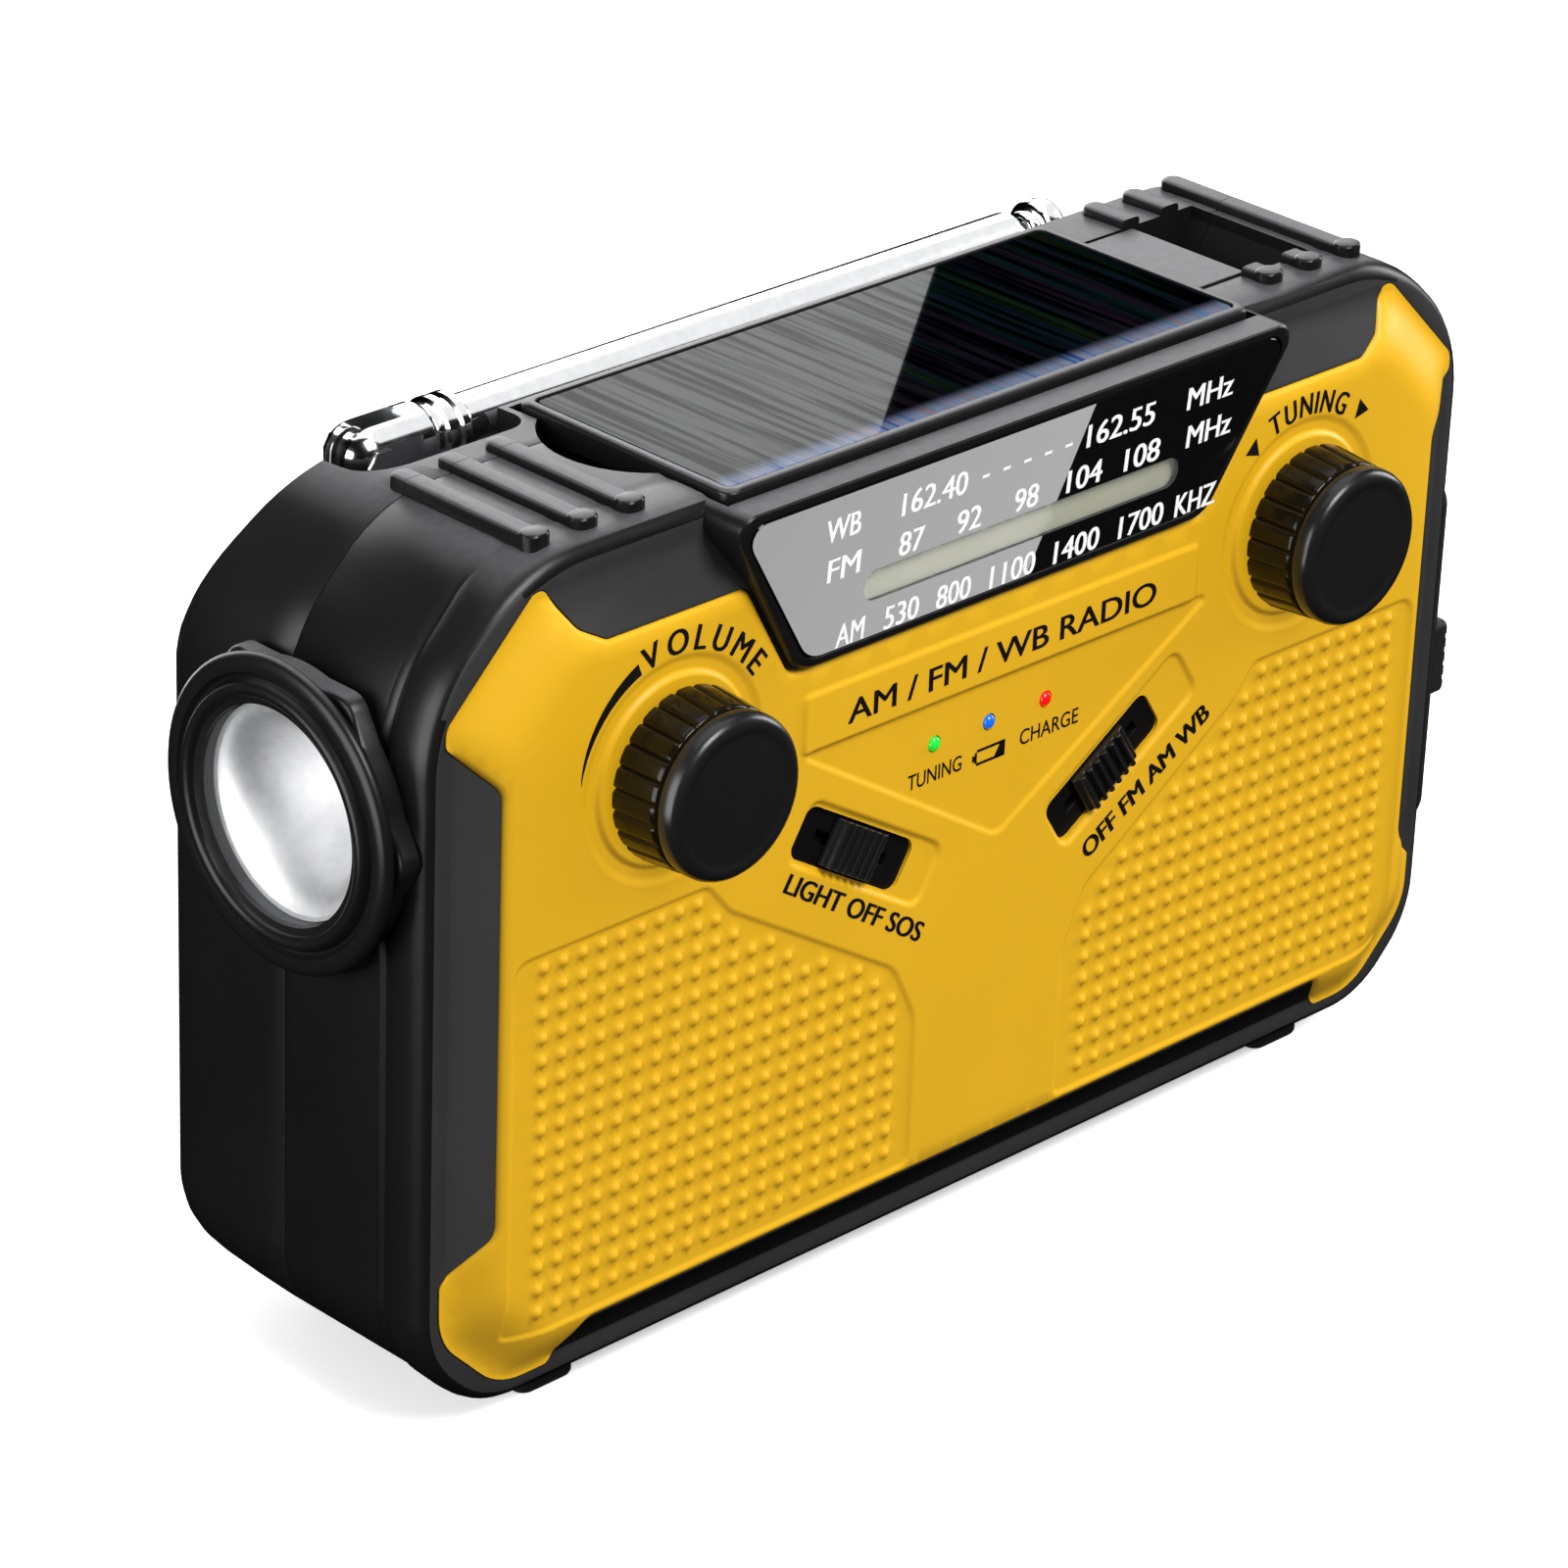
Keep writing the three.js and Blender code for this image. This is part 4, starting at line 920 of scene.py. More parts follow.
class Ink:
    """Collects printed shapes as thin raised slabs over a surface."""

    def __init__(self, surface):
        self.surface, self.verts, self.faces = surface, [], []

    def flat(self, points, faces, lift=0.05):
        points, faces = refined(points, faces)
        xs, zs = columns(points)
        depth = self.surface(xs, zs)
        start, n = len(self.verts), len(points)
        self.verts += [(x, y - lift, z) for x, y, z in zip(xs, depth, zs)]
        self.verts += [(x, y + 0.06, z) for x, y, z in zip(xs, depth, zs)]
        for f in faces:
            self.faces.append(tuple(start + i for i in f))
            self.faces.append(tuple(start + n + i for i in f[::-1]))
        for a, b in rim_edges(faces):
            self.faces.append((start + b, start + a, start + n + a, start + n + b))

    def shape(self, outline):
        self.flat(outline, [tuple(range(len(outline)))])

    def strong(self, points, faces, bold, direction):
        """Prints the shape two times, a stroke's part aside, which thickens it."""
        if not bold:
            return self.flat(points, faces)
        for side in (-0.5, 0.5):
            du, dv = direction[0] * bold * side, direction[1] * bold * side
            self.flat([(u + du, v + dv) for u, v in points], faces, 0.055 + 0.01 * side)

    def line(self, text, x, length, z, cap, angle=0.0, bold=0.0):
        """Text whose ink starts at (x, z) and is as long as length."""
        verts, faces = glyphs(text)
        low, high = min(v.x for v in verts), max(v.x for v in verts)
        c, s = math.cos(math.radians(angle)), math.sin(math.radians(angle))
        points = []
        for v in verts:
            a, b = (v.x - low) / (high - low) * length, v.y / CAPITAL * cap
            points.append((x + a * c - b * s, z + a * s + b * c))
        self.strong(points, faces, bold, (c, s))

    def arc(self, text, x, radius, start, end, cap, squeeze, bold):
        """Letters spread along an arc round a knob, angles in degrees from +x, their feet on the radius."""
        parts = [glyphs(ch) for ch in text]
        ends = [(min(v.x for v in verts), max(v.x for v in verts)) for verts, _ in parts]
        scale = cap / CAPITAL
        total = sum((b - a) * scale * squeeze for a, b in ends)
        space = (math.radians(abs(start - end)) * radius - total) / (len(text) - 1)
        place = 0.0
        for (verts, faces), (a, b) in zip(parts, ends):
            w = (b - a) * scale * squeeze
            angle = math.radians(start) - (place + w / 2) / radius
            place += w + space
            out = []
            for v in verts:
                foot = polar(x, KNOB_Z, radius + v.y * scale, angle)
                u = (v.x - (a + b) / 2) * scale * squeeze
                out.append((foot[0] + u * math.sin(angle), foot[1] - u * math.cos(angle)))
            self.strong(out, faces, bold, (math.sin(angle), -math.cos(angle)))

    def make(self, name, material, slot):
        finish_piece(obj_from(name, self.verts, self.faces, material, smooth=False), "case", slot)


def face_lettering():
    ink = Ink(lambda xs, zs: panel_depth(xs, zs, with_dots=False))
    ink.arc("VOLUME", -KNOB_X, 13.15, 110, 34, 2.75, 0.95, 0.18)
    ink.arc("TUNING", KNOB_X, 13.15, 114.5, 61, 2.6, 0.8, 0.16)
    ink.line("AM / FM / WB RADIO", -23.3, 48.0, 70.2, 2.7, bold=0.12)
    ink.line("TUNING", -13.1, 8.3, 58.7, 1.8)
    ink.line("CHARGE", 4.4, 9.3, 58.7, 1.8)
    ink.line("LIGHT OFF SOS", -31.9, 24.9, 52.9, 2.2, -31.8, 0.22)
    ink.line("OFF FM AM WB", 16.4, 22.6, 40.9, 2.4, 31.5, 0.22)
    # the swoosh that grows round the volume knob
    steps, radius = 24, 13.3
    turns = [math.radians(112 + (171 - 112) * k / steps) for k in range(steps + 1)]
    outer = [polar(-KNOB_X, KNOB_Z, radius + 1.45 * (1 - k / steps) ** 0.8, turn) for k,
             turn in enumerate(turns)]
    inner = [polar(-KNOB_X, KNOB_Z, radius, turn) for turn in turns]
    n = steps + 1
    ink.flat(outer + inner, [(i, i + 1, n + i + 1, n + i) for i in range(steps)])
    for x, turn in ((40.0, -14.5), (58.2, 13.0)):
        ink.shape([polar(x, 84.2, 1.35, math.radians(a + turn)) for a in (90, 210, 330)])
    # battery mark: an outline, its cap and a filled end
    for box in ((-2.4, 1.8, 60.0, 60.3), (-2.4, 1.8, 58.4, 58.7), (-2.7, -2.4, 58.7, 60.0),
                (-3.1, -2.7, 59.0, 59.7)):
        ink.shape(rectangle(*box))
    ink.shape([(0.2, 58.4), (2.0, 58.4), (2.0, 60.3), (1.4, 60.3)])
    ink.make("face_lettering", BLACK_INK, "black_plastic")


face_lettering()


# ---------------------------------------------------------------- dial window
SLOT = rectangle(-23.0, 25.8, 84.4, 88.1, 1.8, 8)
# the height of each row, and each word with its left and right end
DIAL_ROWS = {
    93.4: (("WB", -29.6, -24.6), ("162.40", -18.4, -8.7), ("162.55", 9.9, 20.5), ("MHz", 25.9, 33.2)),
    88.6: (("FM", -28.8, -24.1), ("87", -18.2, -14.6), ("92", -9.5, -5.9), ("98", -0.7, 2.9),
           ("104", 7.5, 12.9), ("108", 16.6, 22.1), ("MHz", 26.6, 33.7)),
    80.2: (("AM", -26.5, -22.4), ("530", -19.3, -14.2), ("800", -11.4, -6.3), ("1100", -3.2, 3.7),
           ("1400", 6.8, 13.8), ("1700", 17.1, 24.1), ("KHZ", 26.2, 32.6)),
}


def glass_slab(name, levels, material=None):
    """A slab parallel to the window's front from (outline, depth) levels."""
    return loft(name, [[(x, dial_front(z) + depth, z) for x, z in outline] for outline, depth in levels],
                material)


def dial():
    edge = dial_outline(1.15)
    lens = glass_slab("dial_face", [(offset(edge, -0.15), -0.02), (edge, 0.13), (edge, 0.5)], DIAL_BLACK)
    combine(lens, [glass_slab("tool", [(SLOT, -1.0), (SLOT, 2.0)])])
    finish_piece(crisp(lens), "case", "dial_glass", "dial_lens")
    window = offset(SLOT, -0.02)
    pane = glass_slab("dial_slot_window", [(window, 0.0), (window, 0.2)], CLEAR)
    finish_piece(crisp(pane), "case", "clear")
    strip = offset(SLOT, 0.9)
    plate = glass_slab("dial_scale_strip", [(strip, 0.88), (strip, 1.3)], OLIVE)
    finish_piece(crisp(plate), "case", "scale_olive", "dial_plate")
    blade = [(-25.75, 83.4), (-24.85, 83.4), (-24.85, 89.2), (-25.75, 89.2)]
    needle = glass_slab("pointer_needle", [(blade, 0.6), (blade, 0.8)], RED)
    combine(needle, [brick((-25.8, -24.8), (0.2, 6.2), (88.6, 89.6), RED),
                     brick((-25.8, -24.8), (5.4, 6.2), (87.6, 89.6), RED),
                     brick((-28.3, -22.3), (5.4, 6.2), (86.0, 88.0), RED)], "UNION")
    finish_piece(crisp(needle), "pointer", "pointer_red", "dial_pointer")
    ink = Ink(lambda xs, zs: dial_front(zs))
    for z, words in DIAL_ROWS.items():
        for text, x0, x1 in words:
            ink.line(text, x0, x1 - x0, z, 2.7, bold=0.14)
    for k in range(5):
        x = -6.4 + k * 3.2
        ink.shape(rectangle(x, x + 1.1, 94.4, 94.75))
    ink.make("dial_lettering", WHITE_INK, "lamp_white")


dial()


# ---------------------------------------------------------------- knobs, switches, lights
def knob(side, name, body):
    centre = (side * KNOB_X, 0, KNOB_Z)

    def flutes(radius, t, angle):
        if radius < 9.0:
            return radius
        phase = (angle * 24 / (2 * math.pi)) % 1.0
        groove = math.exp(-((phase - 0.5) / 0.09) ** 2)
        return radius - 0.42 * groove * min(1.0, max(0.0, (t + 6.9) / 0.8 + 0.15))

    skirt = turned(name + "_skirt", [(3.1, -0.9), (9.35, -0.9), (9.75, -1.05), (9.8, -1.4), (9.68, -3.0),
                                     (9.5, -4.8), (9.38, -6.2), (9.3, -6.75), (9.1, -6.9), (3.1, -6.9)],
                   centre, "y", SMOKE, 288, closed=True, wave=flutes)
    finish_piece(crisp(skirt, 50), body, "smoke_plastic", name)
    cap = turned(name + "_top", [(0, -7.1), (8.5, -7.1), (9.0, -7.12), (9.25, -7.3), (9.3, -7.7),
                                 (9.28, -8.5), (9.12, -9.0), (8.75, -9.42), (8.2, -9.62), (7.7, -9.62),
                                 (7.4, -9.5), (7.1, -9.46), (6.5, -9.5), (3.5, -9.62), (0, -9.66)],
                 centre, "y", BLACK_GLOSS, 96)
    finish_piece(crisp(cap, 50), body, "black_plastic", name + "_cap")


def slide_switch(s, name):
    """A ribbed thumb piece, the strip that rides with it, and the fixed tray between them."""
    c, n = math.cos(math.radians(s["angle"])), math.sin(math.radians(s["angle"]))
    place = Matrix(((c, 0, -n, s["x"]), (0, 1, 0, 0), (n, 0, c, s["z"]), (0, 0, 0, 1)))

    def bar(name, profile, half, material):
        """A profile of (distance along the slot, depth) drawn across it."""
        return loft(name, [[tuple(place @ Vector((a, y, z))) for a, y in profile] for z in (-half, half)],
                    material)

    def block(half_length, near, far, half, material):
        return bar("tool", rectangle(-half_length, half_length, near, far), half, material)

    section = [(-4.4, 0.55), (-4.4, 0.0), (-4.2, -0.25)]
    for k in range(6):
        rib = -3.85 + 1.3 * k
        section += [(rib + a, -y) for a, y in ((0, 0.35), (0.12, 0.75), (0.3, 0.9), (0.62, 0.9),
                                               (0.8, 0.75), (0.92, 0.35))]
    section += [(4.2, -0.25), (4.4, 0.0), (4.4, 0.55)]
    half = s["width"] / 2
    thumb = bar(name + "_switch_thumb", section, half - 0.35, BLACK_GLOSS)
    combine(thumb, [block((s["length"] + 5.4) / 2, 1.9, 2.9, half + 0.7, BLACK_PART),
                    block(1.2, 0.3, 7.0, 0.5, BLACK_PART)], "UNION")
    finish_piece(soften(thumb, 0.14), name + "_slider", "black_plastic", name + "_switch_slider")
    tray = prism("y", switch_outline(s, -0.06, -0.06), 0.75, 1.65, name + "_switch_tray", BLACK_MATT)
    combine(tray, [block((2.8 + SWITCH_TRAVEL) / 2, 0.0, 3.0, 0.7, BLACK)])
    finish_piece(soften(tray, 0.1), "case", "black_plastic")


knob(-1, "volume_knob", "volume_control")
knob(1, "tuning_knob", "tuning_control")
slide_switch(LIGHT, "light")
slide_switch(BAND, "band")
for _name, _x, _glow in LEDS:
    _led = turned(_name + "_dome", [(0, 15.7), (0.85, 15.7), (0.85, 0.45), (0.78, 0.15), (0.58, -0.05),
                                    (0.3, -0.16), (0, -0.2)], (_x, 0, LED_Z), "y", _glow, 24)
    finish_piece(_led, "case", "clear", _name)


# ---------------------------------------------------------------- flashlight
def lamp():
    """The light looks towards -x; distances are x."""
    at = (0, LAMP_Y, LAMP_Z)
    body = turned("flashlight_ring", [(12.0, -72.2), (13.2, -72.2), (13.2, -79.8), (16.2, -80.0),
                                      (16.2, -82.4), (16.9, -82.65), (17.3, -83.0), (17.4, -83.4),
                                      (17.25, -83.85), (16.9, -84.15), (16.3, -84.3), (15.4, -84.25),
                                      (15.0, -83.75), (14.7, -83.7), (14.4, -84.3), (14.15, -84.75),
                                      (13.8, -84.9), (13.3, -84.85), (12.95, -84.6), (12.8, -84.1),
                                      (12.0, -84.0)], at, "x", sides=96, closed=True)
    flange = circle(LAMP_Y, LAMP_Z, 18.2, 6)
    plate = stack("tool", "x", lambda inset: rounded(offset(flange, -inset), 2.5),
                  [(0.0, -80.0), (0.0, -81.7), (0.15, -82.05), (0.5, -82.3)])
    combine(plate, [drum(14.0, -90, -70, at, "x", 64)])
    combine(body, [plate], "UNION")
    finish_piece(crisp(body, 40), "case", "black_plastic", "flashlight_bezel")
    cover = turned("flashlight_cover", [(0, -84.0), (9.0, -83.98), (11.2, -83.9), (11.75, -83.6),
                                        (11.75, -82.7), (11.2, -82.6), (0, -82.75)], at, "x", CLEAR)
    finish_piece(crisp(cover), "case", "clear", "flashlight_lens")
    curve = [(11.4 - 8.2 * k / 12, -82.0 + 12.5 * (k / 12) ** 1.9) for k in range(13)]
    wall, step_back = 0.5, 0.8
    bowl = [(11.85, -82.2), (11.5, -82.2), *curve, (3.0, -69.2), (4.2, -69.4)]
    bowl += [(r + wall, x + step_back) for r, x in curve[-2::-1]]
    reflector = turned("flashlight_bowl", bowl, at, "x", MIRROR, 96, closed=True)
    finish_piece(crisp(reflector, 50), "case", "mirror", "flashlight_reflector")
    bulb = turned("flashlight_emitter", [(0, -71.6), (1.0, -71.4), (1.8, -70.8), (2.3, -69.9), (2.4, -68.9),
                                         (6.5, -68.7), (6.5, -66.2), (0, -66.2)], at, "x", MILKY, 40)
    finish_piece(crisp(bulb), "case", "nylon", "flashlight_led")


lamp()


# ---------------------------------------------------------------- solar lid
LID = dict(half=40.2, front=1.8, back=34.3)
HINGE = dict(x=46.6, z=98.0, front=10.6, back=27.8, tab=49.8)


def solar_lid():
    def edge(inset, radius=1.6):
        return rectangle(-LID["half"] + inset, LID["half"] - inset, LID["front"] + inset, LID["back"] - inset,
                         radius, 5)

    def square_edge(inset):
        return edge(inset, 0.8)

    def cell_edge(inset):
        return edge(inset, 0.7)

    lid = stack("lid_frame", "z", edge, [(0.25, 97.6), (0.0, 97.85), (0.0, 100.2), (0.12, 100.55),
                                         (0.45, 100.75), (0.7, 100.8)], BLACK_LID)
    tab = prism("y", [(HINGE["tab"], 96.4), (39.0, 96.4), (39.0, 100.0), (48.6, 100.0), (49.5, 99.6),
                      (49.8, 98.9)], HINGE["front"], HINGE["back"])
    combine(lid, [tab], "UNION")
    combine(lid, [drum(1.1, 8, 30, (HINGE["x"], 0, HINGE["z"]), "y", 24),
                  stack("tool", "z", square_edge, [(1.3, 99.8), (1.3, 102)]),
                  brick((-31, 31), (10, 26), (96, 99.0))])
    finish_piece(soften(clean(lid), 0.15, 40), "lid", "black_plastic", "solar_lid")
    cell = stack("solar_panel", "z", cell_edge, [(1.5, 100.0), (1.5, 100.55), (1.62, 100.65)], SOLAR)
    finish_piece(crisp(cell, 15), "lid", "silicon", "solar_cell")
    diffuser = stack("reading_lamp_cover", "z",
                     lambda i: rectangle(-30.8 + i, 30.8 - i, 10.2 + i, 25.8 - i, 2.5),
                     [(0.7, 97.7), (0.15, 97.85), (0.0, 98.1), (0.0, 98.8)], MILKY)
    finish_piece(crisp(diffuser, 50), "lid", "lamp_white", "lamp_lens")


solar_lid()


# ---------------------------------------------------------------- antenna
ANT_X, ANT_Y, ANT_Z = -57.5, 39.2, 97.6
# outside and inside radius and body of each tube
TUBES = ((3.0, 2.6, "antenna_arm"), (2.3, 1.95, "antenna_section_2"), (1.65, 1.3, "antenna_section_3"),
         (1.0, 0.0, "antenna_section_4"))


def antenna():
    axis, pivot = (0, ANT_Y, ANT_Z), (ANT_X, ANT_Y, ANT_Z)
    base = turned("antenna_stud", [(0, -5.9), (3.4, -5.9), (3.4, -4.6), (3.1, -4.3), (0, -4.3)], pivot, "z",
                  CHROME, 48)
    arch = [polar(ANT_X, ANT_Z, 2.5, math.pi * k / 16) for k in range(17)]
    tongue = prism("y", [(ANT_X - 2.5, ANT_Z - 4.8), (ANT_X + 2.5, ANT_Z - 4.8), *arch],
                   ANT_Y - 1.15, ANT_Y + 1.15, material=CHROME)
    combine(base, [tongue], "UNION")
    finish_piece(soften(base, 0.2), "antenna_swivel_base", "chrome", "antenna_base")

    dome = [(3.9 * math.cos(math.pi / 2 * k / 12), ANT_X - 3.9 * math.sin(math.pi / 2 * k / 12))
            for k in range(12, -1, -1)]
    collar = [(3.9, -50.2), (3.55, -49.7), (3.4, -49.2), (3.4, -48.4), (3.9, -48.1), (3.9, -47.2),
              (3.5, -46.9), (3.5, -46.4), (3.9, -46.1), (3.9, -45.2), (3.6, -44.9), (3.4, -44.6),
              (0, -44.6)]
    knuckle = turned("antenna_fork", dome + collar, axis, "x", CHROME, 64)
    tall = (ANT_Z - 8, ANT_Z + 8)
    cuts = [brick((ANT_X - 8, ANT_X + 5), (ANT_Y - 1.5, ANT_Y + 1.5), tall)]
    cuts += [brick((ANT_X - 8, ANT_X + 5.6), (ANT_Y + s * 4.6 - 1.2, ANT_Y + s * 4.6 + 1.2), tall)
             for s in (-1, 1)]
    combine(knuckle, cuts)
    combine(knuckle, [drum(1.9, a, b, pivot, "y", 6, CHROME) for a, b in ((-3.85, -3.2), (3.2, 3.85))],
            "UNION")
    finish_piece(soften(clean(knuckle), 0.14), "antenna_arm", "chrome", "antenna_knuckle")

    for i, (outer, inner, body) in enumerate(TUBES):
        x0, x1 = -44.2 + 0.8 * i, 40.5 if inner else 41.7
        profile = [(inner, x0), (outer, x0), (outer, x1 - 0.9), (outer - 0.08, x1 - 0.5),
                   (outer - 0.2, x1 - 0.12), (max(inner, outer - 0.32), x1), (inner, x1)]
        tube = turned("antenna_rod_%d" % (i + 1), profile, axis, "x", CHROME, 48, closed=inner > 0)
        finish_piece(crisp(tube), body, "chrome", "antenna_tube_%d" % (i + 1))
    tip = turned("antenna_cap", [(0, 42.0), (1.8, 42.0), (2.2, 42.15), (2.4, 42.5), (2.4, 43.4),
                                 (3.0, 43.6), (3.3, 44.0), (3.3, 45.9), (3.1, 46.6), (2.6, 47.15),
                                 (1.8, 47.45), (0, 47.5)], axis, "x", CHROME, 48)
    finish_piece(crisp(tip, 50), "antenna_section_4", "chrome", "antenna_tip")


antenna()


# ---------------------------------------------------------------- crank, door, cover, feet, screws
def crank():
    outline = rounded([(30.5, 19.5), (45.5, 19.5), (45.5, 57.5), (30.5, 57.5)], [5, 5, 7, 7], 8)
    arm = stack("crank_handle_arm", "y", lambda inset: offset(outline, -inset),
                [(0.3, 41.1), (0.0, 41.4), (0.0, 44.6), (0.25, 45.2), (0.8, 45.6), (1.4, 45.7)])
    dimple = turned("tool", [(0, 45.2), (4.5, 45.2), (5.0, 45.5), (5.2, 46.5), (0, 46.5)],
                    (CRANK_X, 0, CRANK_Z), "y", sides=48)
    combine(arm, [brick((33.0, 43.0), (40, 47), (10, 41.9)), dimple])
    finish_piece(soften(clean(arm), 0.25), "crank", "black_plastic", "crank_arm")

    def grooves(radius, t, angle):
        if radius < 4:
            return radius
        phase = (angle * 12 / (2 * math.pi)) % 1.0
        return radius - 0.35 * math.exp(-((phase - 0.5) / 0.14) ** 2)

    grip = turned("crank_handle_grip", [(1.9, 2.0), (3.7, 2.0), (4.1, 2.2), (4.2, 2.7), (4.2, 8), (4.2, 15.8),
                                        (4.1, 16.5), (3.6, 16.95), (3.0, 17.0), (1.9, 17.0)],
                  (CRANK_X, 45.5, 21.5), "z", sides=120, closed=True, wave=grooves)
    finish_piece(crisp(grip, 50), "grip", "black_plastic", "crank_grip")


def battery_door():
    door = stack("battery_hatch", "y", lambda i: rectangle(-69 + i, -i, 8 + i, 28.5 - i, 1.2, 5),
                 [(0.0, 44.5), (0.0, 46.1), (0.12, 46.35), (0.4, 46.5)])
    combine(door, [prism("y", rectangle(-38 + 2.2 * k, -37 + 2.2 * k, 22.5, 26.5, 0.45, 4), 46.0, 47.5)
                   for k in range(4)])
    finish_piece(soften(clean(door), 0.12), "door", "black_plastic", "battery_door")


def port_cover():
    cover = stack("socket_cover", "x", lambda i: rectangle(5 + i, 37 - i, 22.4 + i, 67 - i, 3.0, 7),
                  [(0.0, 80.1), (0.0, 81.5), (0.2, 81.95), (0.7, 82.2)], RUBBER)
    tab = stack("tool", "x", lambda i: rectangle(5 + i, 9 - i, 39 + i, 48.4 - i, 0.8, 4),
                [(0, 81.6), (0, 83.5), (0.15, 83.9), (0.5, 84.1)], RUBBER)
    combine(cover, [tab], "UNION")
    combine(cover, [brick((83.6, 85), (4, 10), (z, z + 0.7)) for z in (40.6, 42.4, 44.2, 46.0)])
    combine(cover, [prism("x", rectangle(12, 33, 26, 63.4, 2, 5), 81.85, 83, material=RUBBER)])
    finish_piece(soften(clean(cover), 0.18), "cover", "rubber", "port_cover")


def feet_and_screws():
    for i, (x, y) in enumerate(((-59, 9), (59, 9), (-59, 37), (59, 37)), 1):
        foot = stack("foot_pad_%d" % i, "z",
                     lambda n: rectangle(x - 4 + n, x + 4 - n, y - 3.25 + n, y + 3.25 - n, 1.4, 5),
                     [(0.6, 0.0), (0.15, 0.15), (0.0, 0.5), (0.0, 2.4)], RUBBER)
        finish_piece(crisp(foot, 45), "case", "rubber", "foot_%d" % i)
    for i, (x, z) in enumerate(SCREW_SPOTS, 1):
        screw = turned("screw_head_%d" % i, [(0, 45.5), (2.0, 45.5), (2.0, 46.0), (1.8, 46.25), (1.2, 46.38),
                                             (0, 46.4)], (x, 0, z), "y", STEEL, 32)
        combine(screw, [brick((x - a, x + a), (45.9, 47), (z - b, z + b))
                        for a, b in ((1.3, 0.25), (0.25, 1.3))])
        finish_piece(crisp(screw), "case", "steel", "screw_%d" % i)


crank()
battery_door()
port_cover()
feet_and_screws()


# ---------------------------------------------------------------- studio
def lit_pieces(name, pieces, state):
    """A light linking collection of the named pieces."""
    group = bpy.data.collections.new(name)
    for piece in pieces:
        group.objects.link(bpy.data.objects[piece])
    for entry in group.collection_objects:
        entry.light_linking.link_state = state
    return group


def area(name, place, target, size, power, size_y=None, only=(), skip=(), clear=()):
    """A soft light. With only= it is a reflector card that just those pieces mirror, the pieces in skip=
    don't get its light, and the pieces in clear= don't cast its shadow."""
    light = bpy.data.lights.new(name, "AREA")
    light.energy = power
    light.size = size
    if size_y:
        light.shape = "RECTANGLE"
        light.size_y = size_y
    obj = bpy.data.objects.new(name, light)
    place, target = (Vector(place) + SHIFT) * MM, (Vector(target) + SHIFT) * MM
    obj.location = place
    obj.rotation_euler = (target - place).to_track_quat("-Z", "Y").to_euler()
    obj.visible_camera = False
    if only:
        obj.light_linking.receiver_collection = lit_pieces(name + "_on", only, "INCLUDE")
        obj.visible_diffuse = False
    if skip:
        obj.light_linking.receiver_collection = lit_pieces(name + "_skips", skip, "EXCLUDE")
    if clear:
        obj.light_linking.blocker_collection = lit_pieces(name + "_clears", clear, "EXCLUDE")
    bpy.context.scene.collection.objects.link(obj)
    return obj


def card(name, corner_a, corner_b, far, look, power, height, only):
    """A reflector whose right edge runs through two points; far is a point on its left."""
    a, b, f = Vector(corner_a), Vector(corner_b), Vector(far)
    edge = (a - b).normalized()
    across = (f - b) - edge * (f - b).dot(edge)
    width = across.length
    across.normalize()
    centre = (a + b) / 2 + across * width / 2
    normal = across.cross(edge)
    if normal.dot(Vector(look) - centre) < 0:
        normal = -normal
    obj = area(name, centre, centre + normal, width * MM, power, height * MM, only=only)
    # the light shines along its own -z, and its y follows the edge
    obj.rotation_euler = Matrix((edge.cross(-normal), edge, -normal)).transposed().to_euler()


def studio_floor():
    # the paper glows a little, so that the shadow stays light and the far floor pale
    paper = moulded("floor_paper", srgb(250, 250, 250), 0.9, 40, 0.00001, 0.005)
    paper.cycles.emission_sampling = "NONE"
    inputs = paper.node_tree.nodes["Principled BSDF"].inputs
    inputs["Emission Color"].default_value = (1, 1, 1, 1)
    inputs["Emission Strength"].default_value = 0.4
    reach = 4000
    floor = prism("z", rectangle(-reach, reach, -reach, reach), -0.02, -4.0, "studio_floor", paper)
    # dark studio surroundings: only the lamps show in glossy surfaces
    floor.visible_glossy = False
    floor.visible_diffuse = False


def surroundings():
    world = bpy.data.worlds.new("studio_world")
    bpy.context.scene.world = world
    world.use_nodes = True
    background = world.node_tree.nodes["Background"]
    background.inputs["Color"].default_value = (1, 1, 1, 1)
    background.inputs["Strength"].default_value = 0.3
    world.cycles_visibility.glossy = False


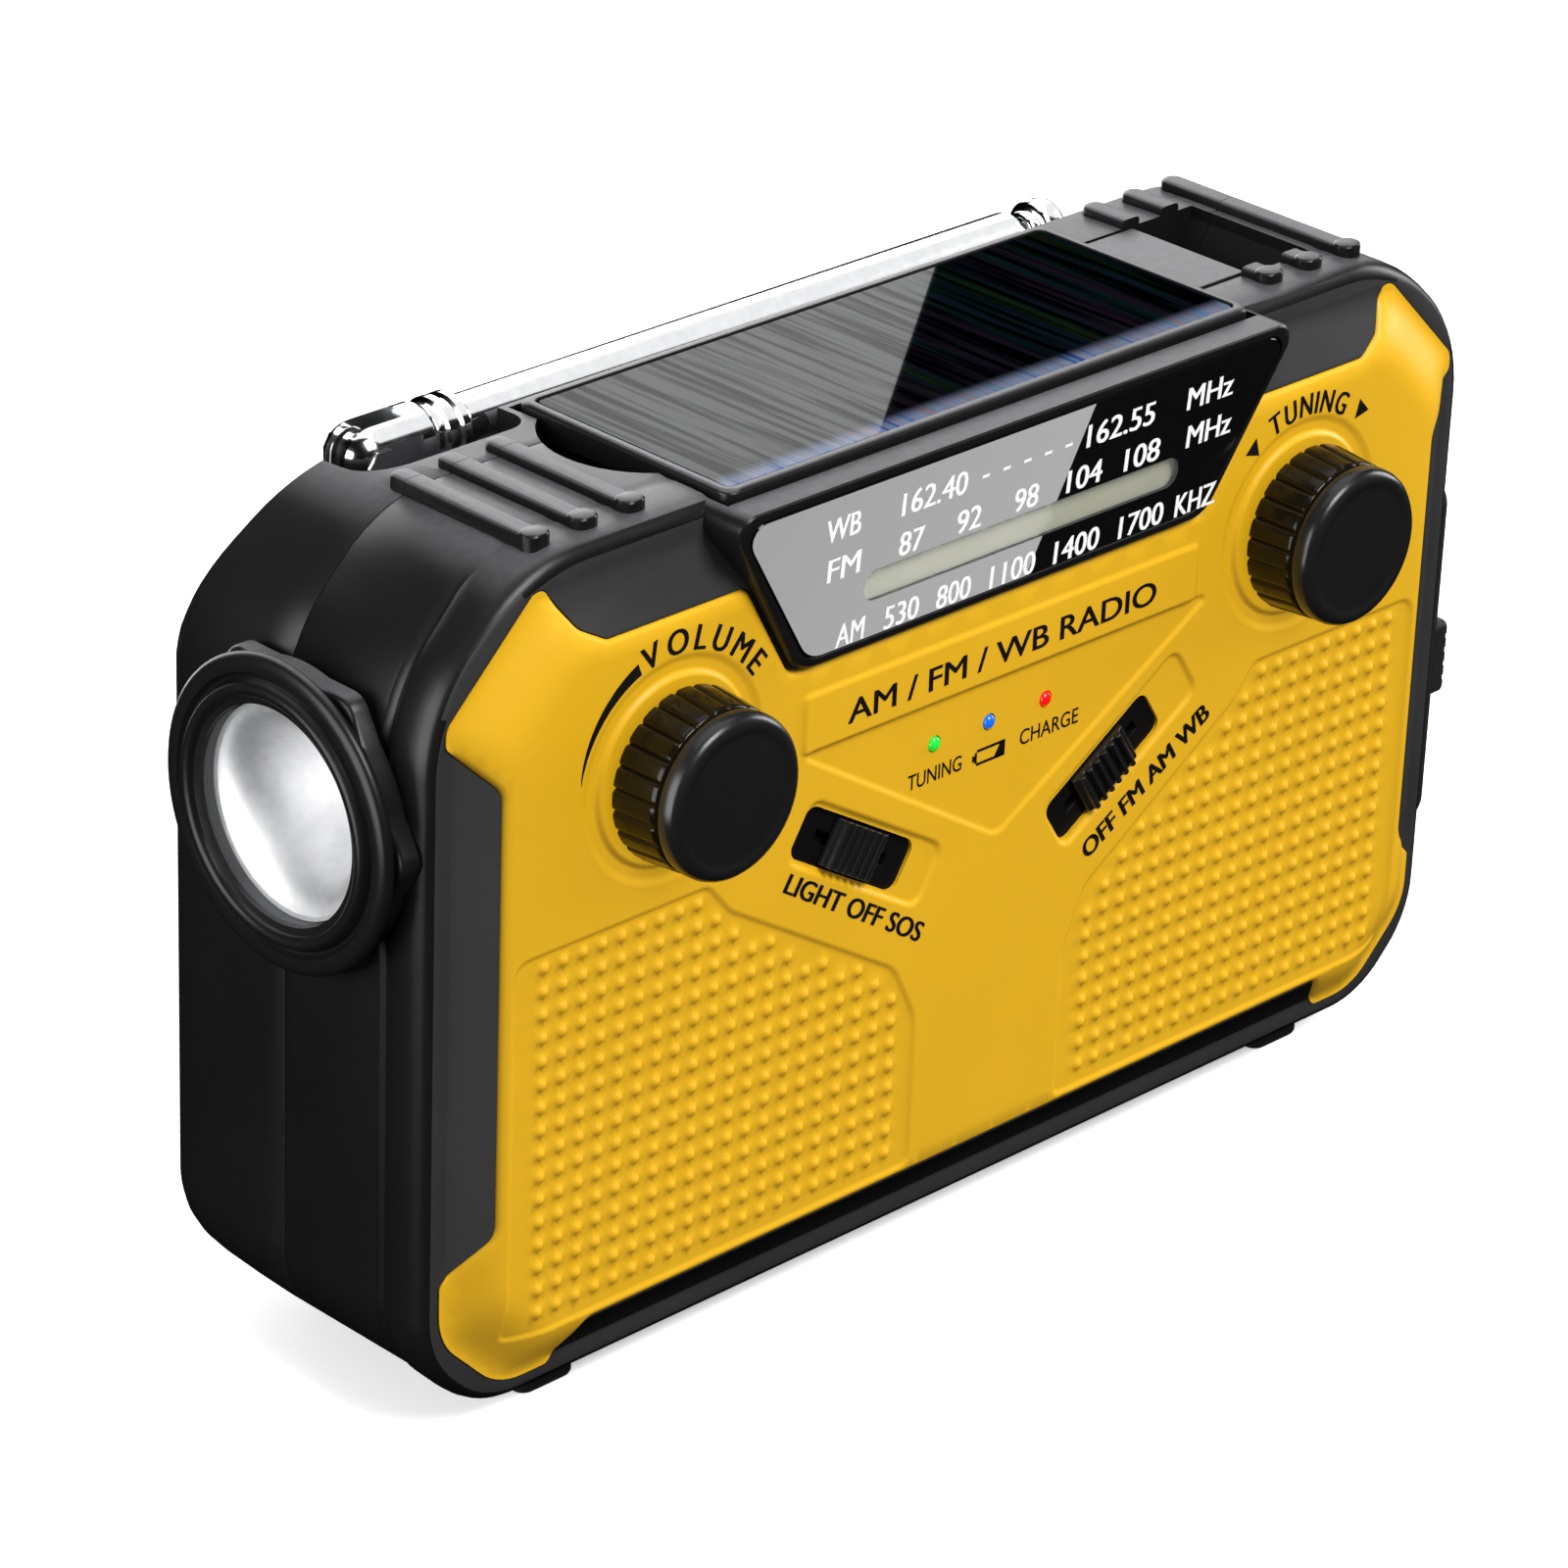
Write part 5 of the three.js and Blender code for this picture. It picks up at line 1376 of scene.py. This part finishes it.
def lights():
    knobs = ("volume_knob_skirt", "volume_knob_top", "tuning_knob_skirt", "tuning_knob_top")
    rods = (*["antenna_rod_%d" % (i + 1) for i in range(len(TUBES))], "antenna_cap", "antenna_fork",
            "antenna_stud")
    area("key_soft", (60, -1000, 1250), (0, 0, 50), 0.7, 28.0, clear=knobs)
    area("top_soft", (100, 200, 1000), (0, 0, 80), 1.0, 4.5)
    area("left_fill", (-900, 60, 150), (0, 20, 50), 0.8, 13.0, skip=("face_front", "solar_panel"))
    area("back_soft", (520, 540, 400), (0, 20, 95), 0.55, 2.2, 0.4, skip=("solar_panel",))
    area("back_fill", (400, 1000, 150), (0, 30, 50), 0.9, 10.0, skip=("solar_panel", *rods))
    area("right_rim", (900, -150, 300), (78, 0, 50), 0.3, 4.0, 0.5, skip=("solar_panel",))
    area("rod_card", (900, 150, 1000), (0, 40, 100), 2.2, 14.0, only=rods)
    card("solar_reflector", (563.2, 543.7, 394.4), (515.4, 513.6, 413.6), (240, 640, 400), (0, 20, 100),
         0.52, 400, ("solar_panel",))
    card("dial_reflector", (85.6, -62.1, 44.0), (76.5, -60.2, 24.2), (20, -66, 34), (0, 0, 88), 0.23, 90,
         ("dial_face", "dial_slot_window"))


CAMERA = dict(lens=146.85, azimuth=-45.397, elevation=26.233, roll=2.2, place=(-462.57, -424.29, 363.67))


def camera():
    lens = bpy.data.cameras.new("photo_camera")
    lens.lens = CAMERA["lens"]
    lens.sensor_width = 36.0
    lens.clip_start = 0.01
    eye = bpy.data.objects.new("photo_camera", lens)
    az, el, roll = [math.radians(CAMERA[key]) for key in ("azimuth", "elevation", "roll")]
    back = Vector((math.sin(az) * math.cos(el), -math.cos(az) * math.cos(el), math.sin(el)))
    level = Vector((math.cos(az), math.sin(az), 0))
    right = level * math.cos(roll) + back.cross(level) * math.sin(roll)
    place = (Vector(CAMERA["place"]) + SHIFT) * MM
    aim = Matrix((right, back.cross(right), back)).transposed().to_4x4()
    eye.matrix_world = Matrix.Translation(place) @ aim
    bpy.context.scene.collection.objects.link(eye)
    bpy.context.scene.camera = eye
    bpy.context.scene.view_settings.view_transform = "Standard"


studio_floor()
surroundings()
lights()
camera()
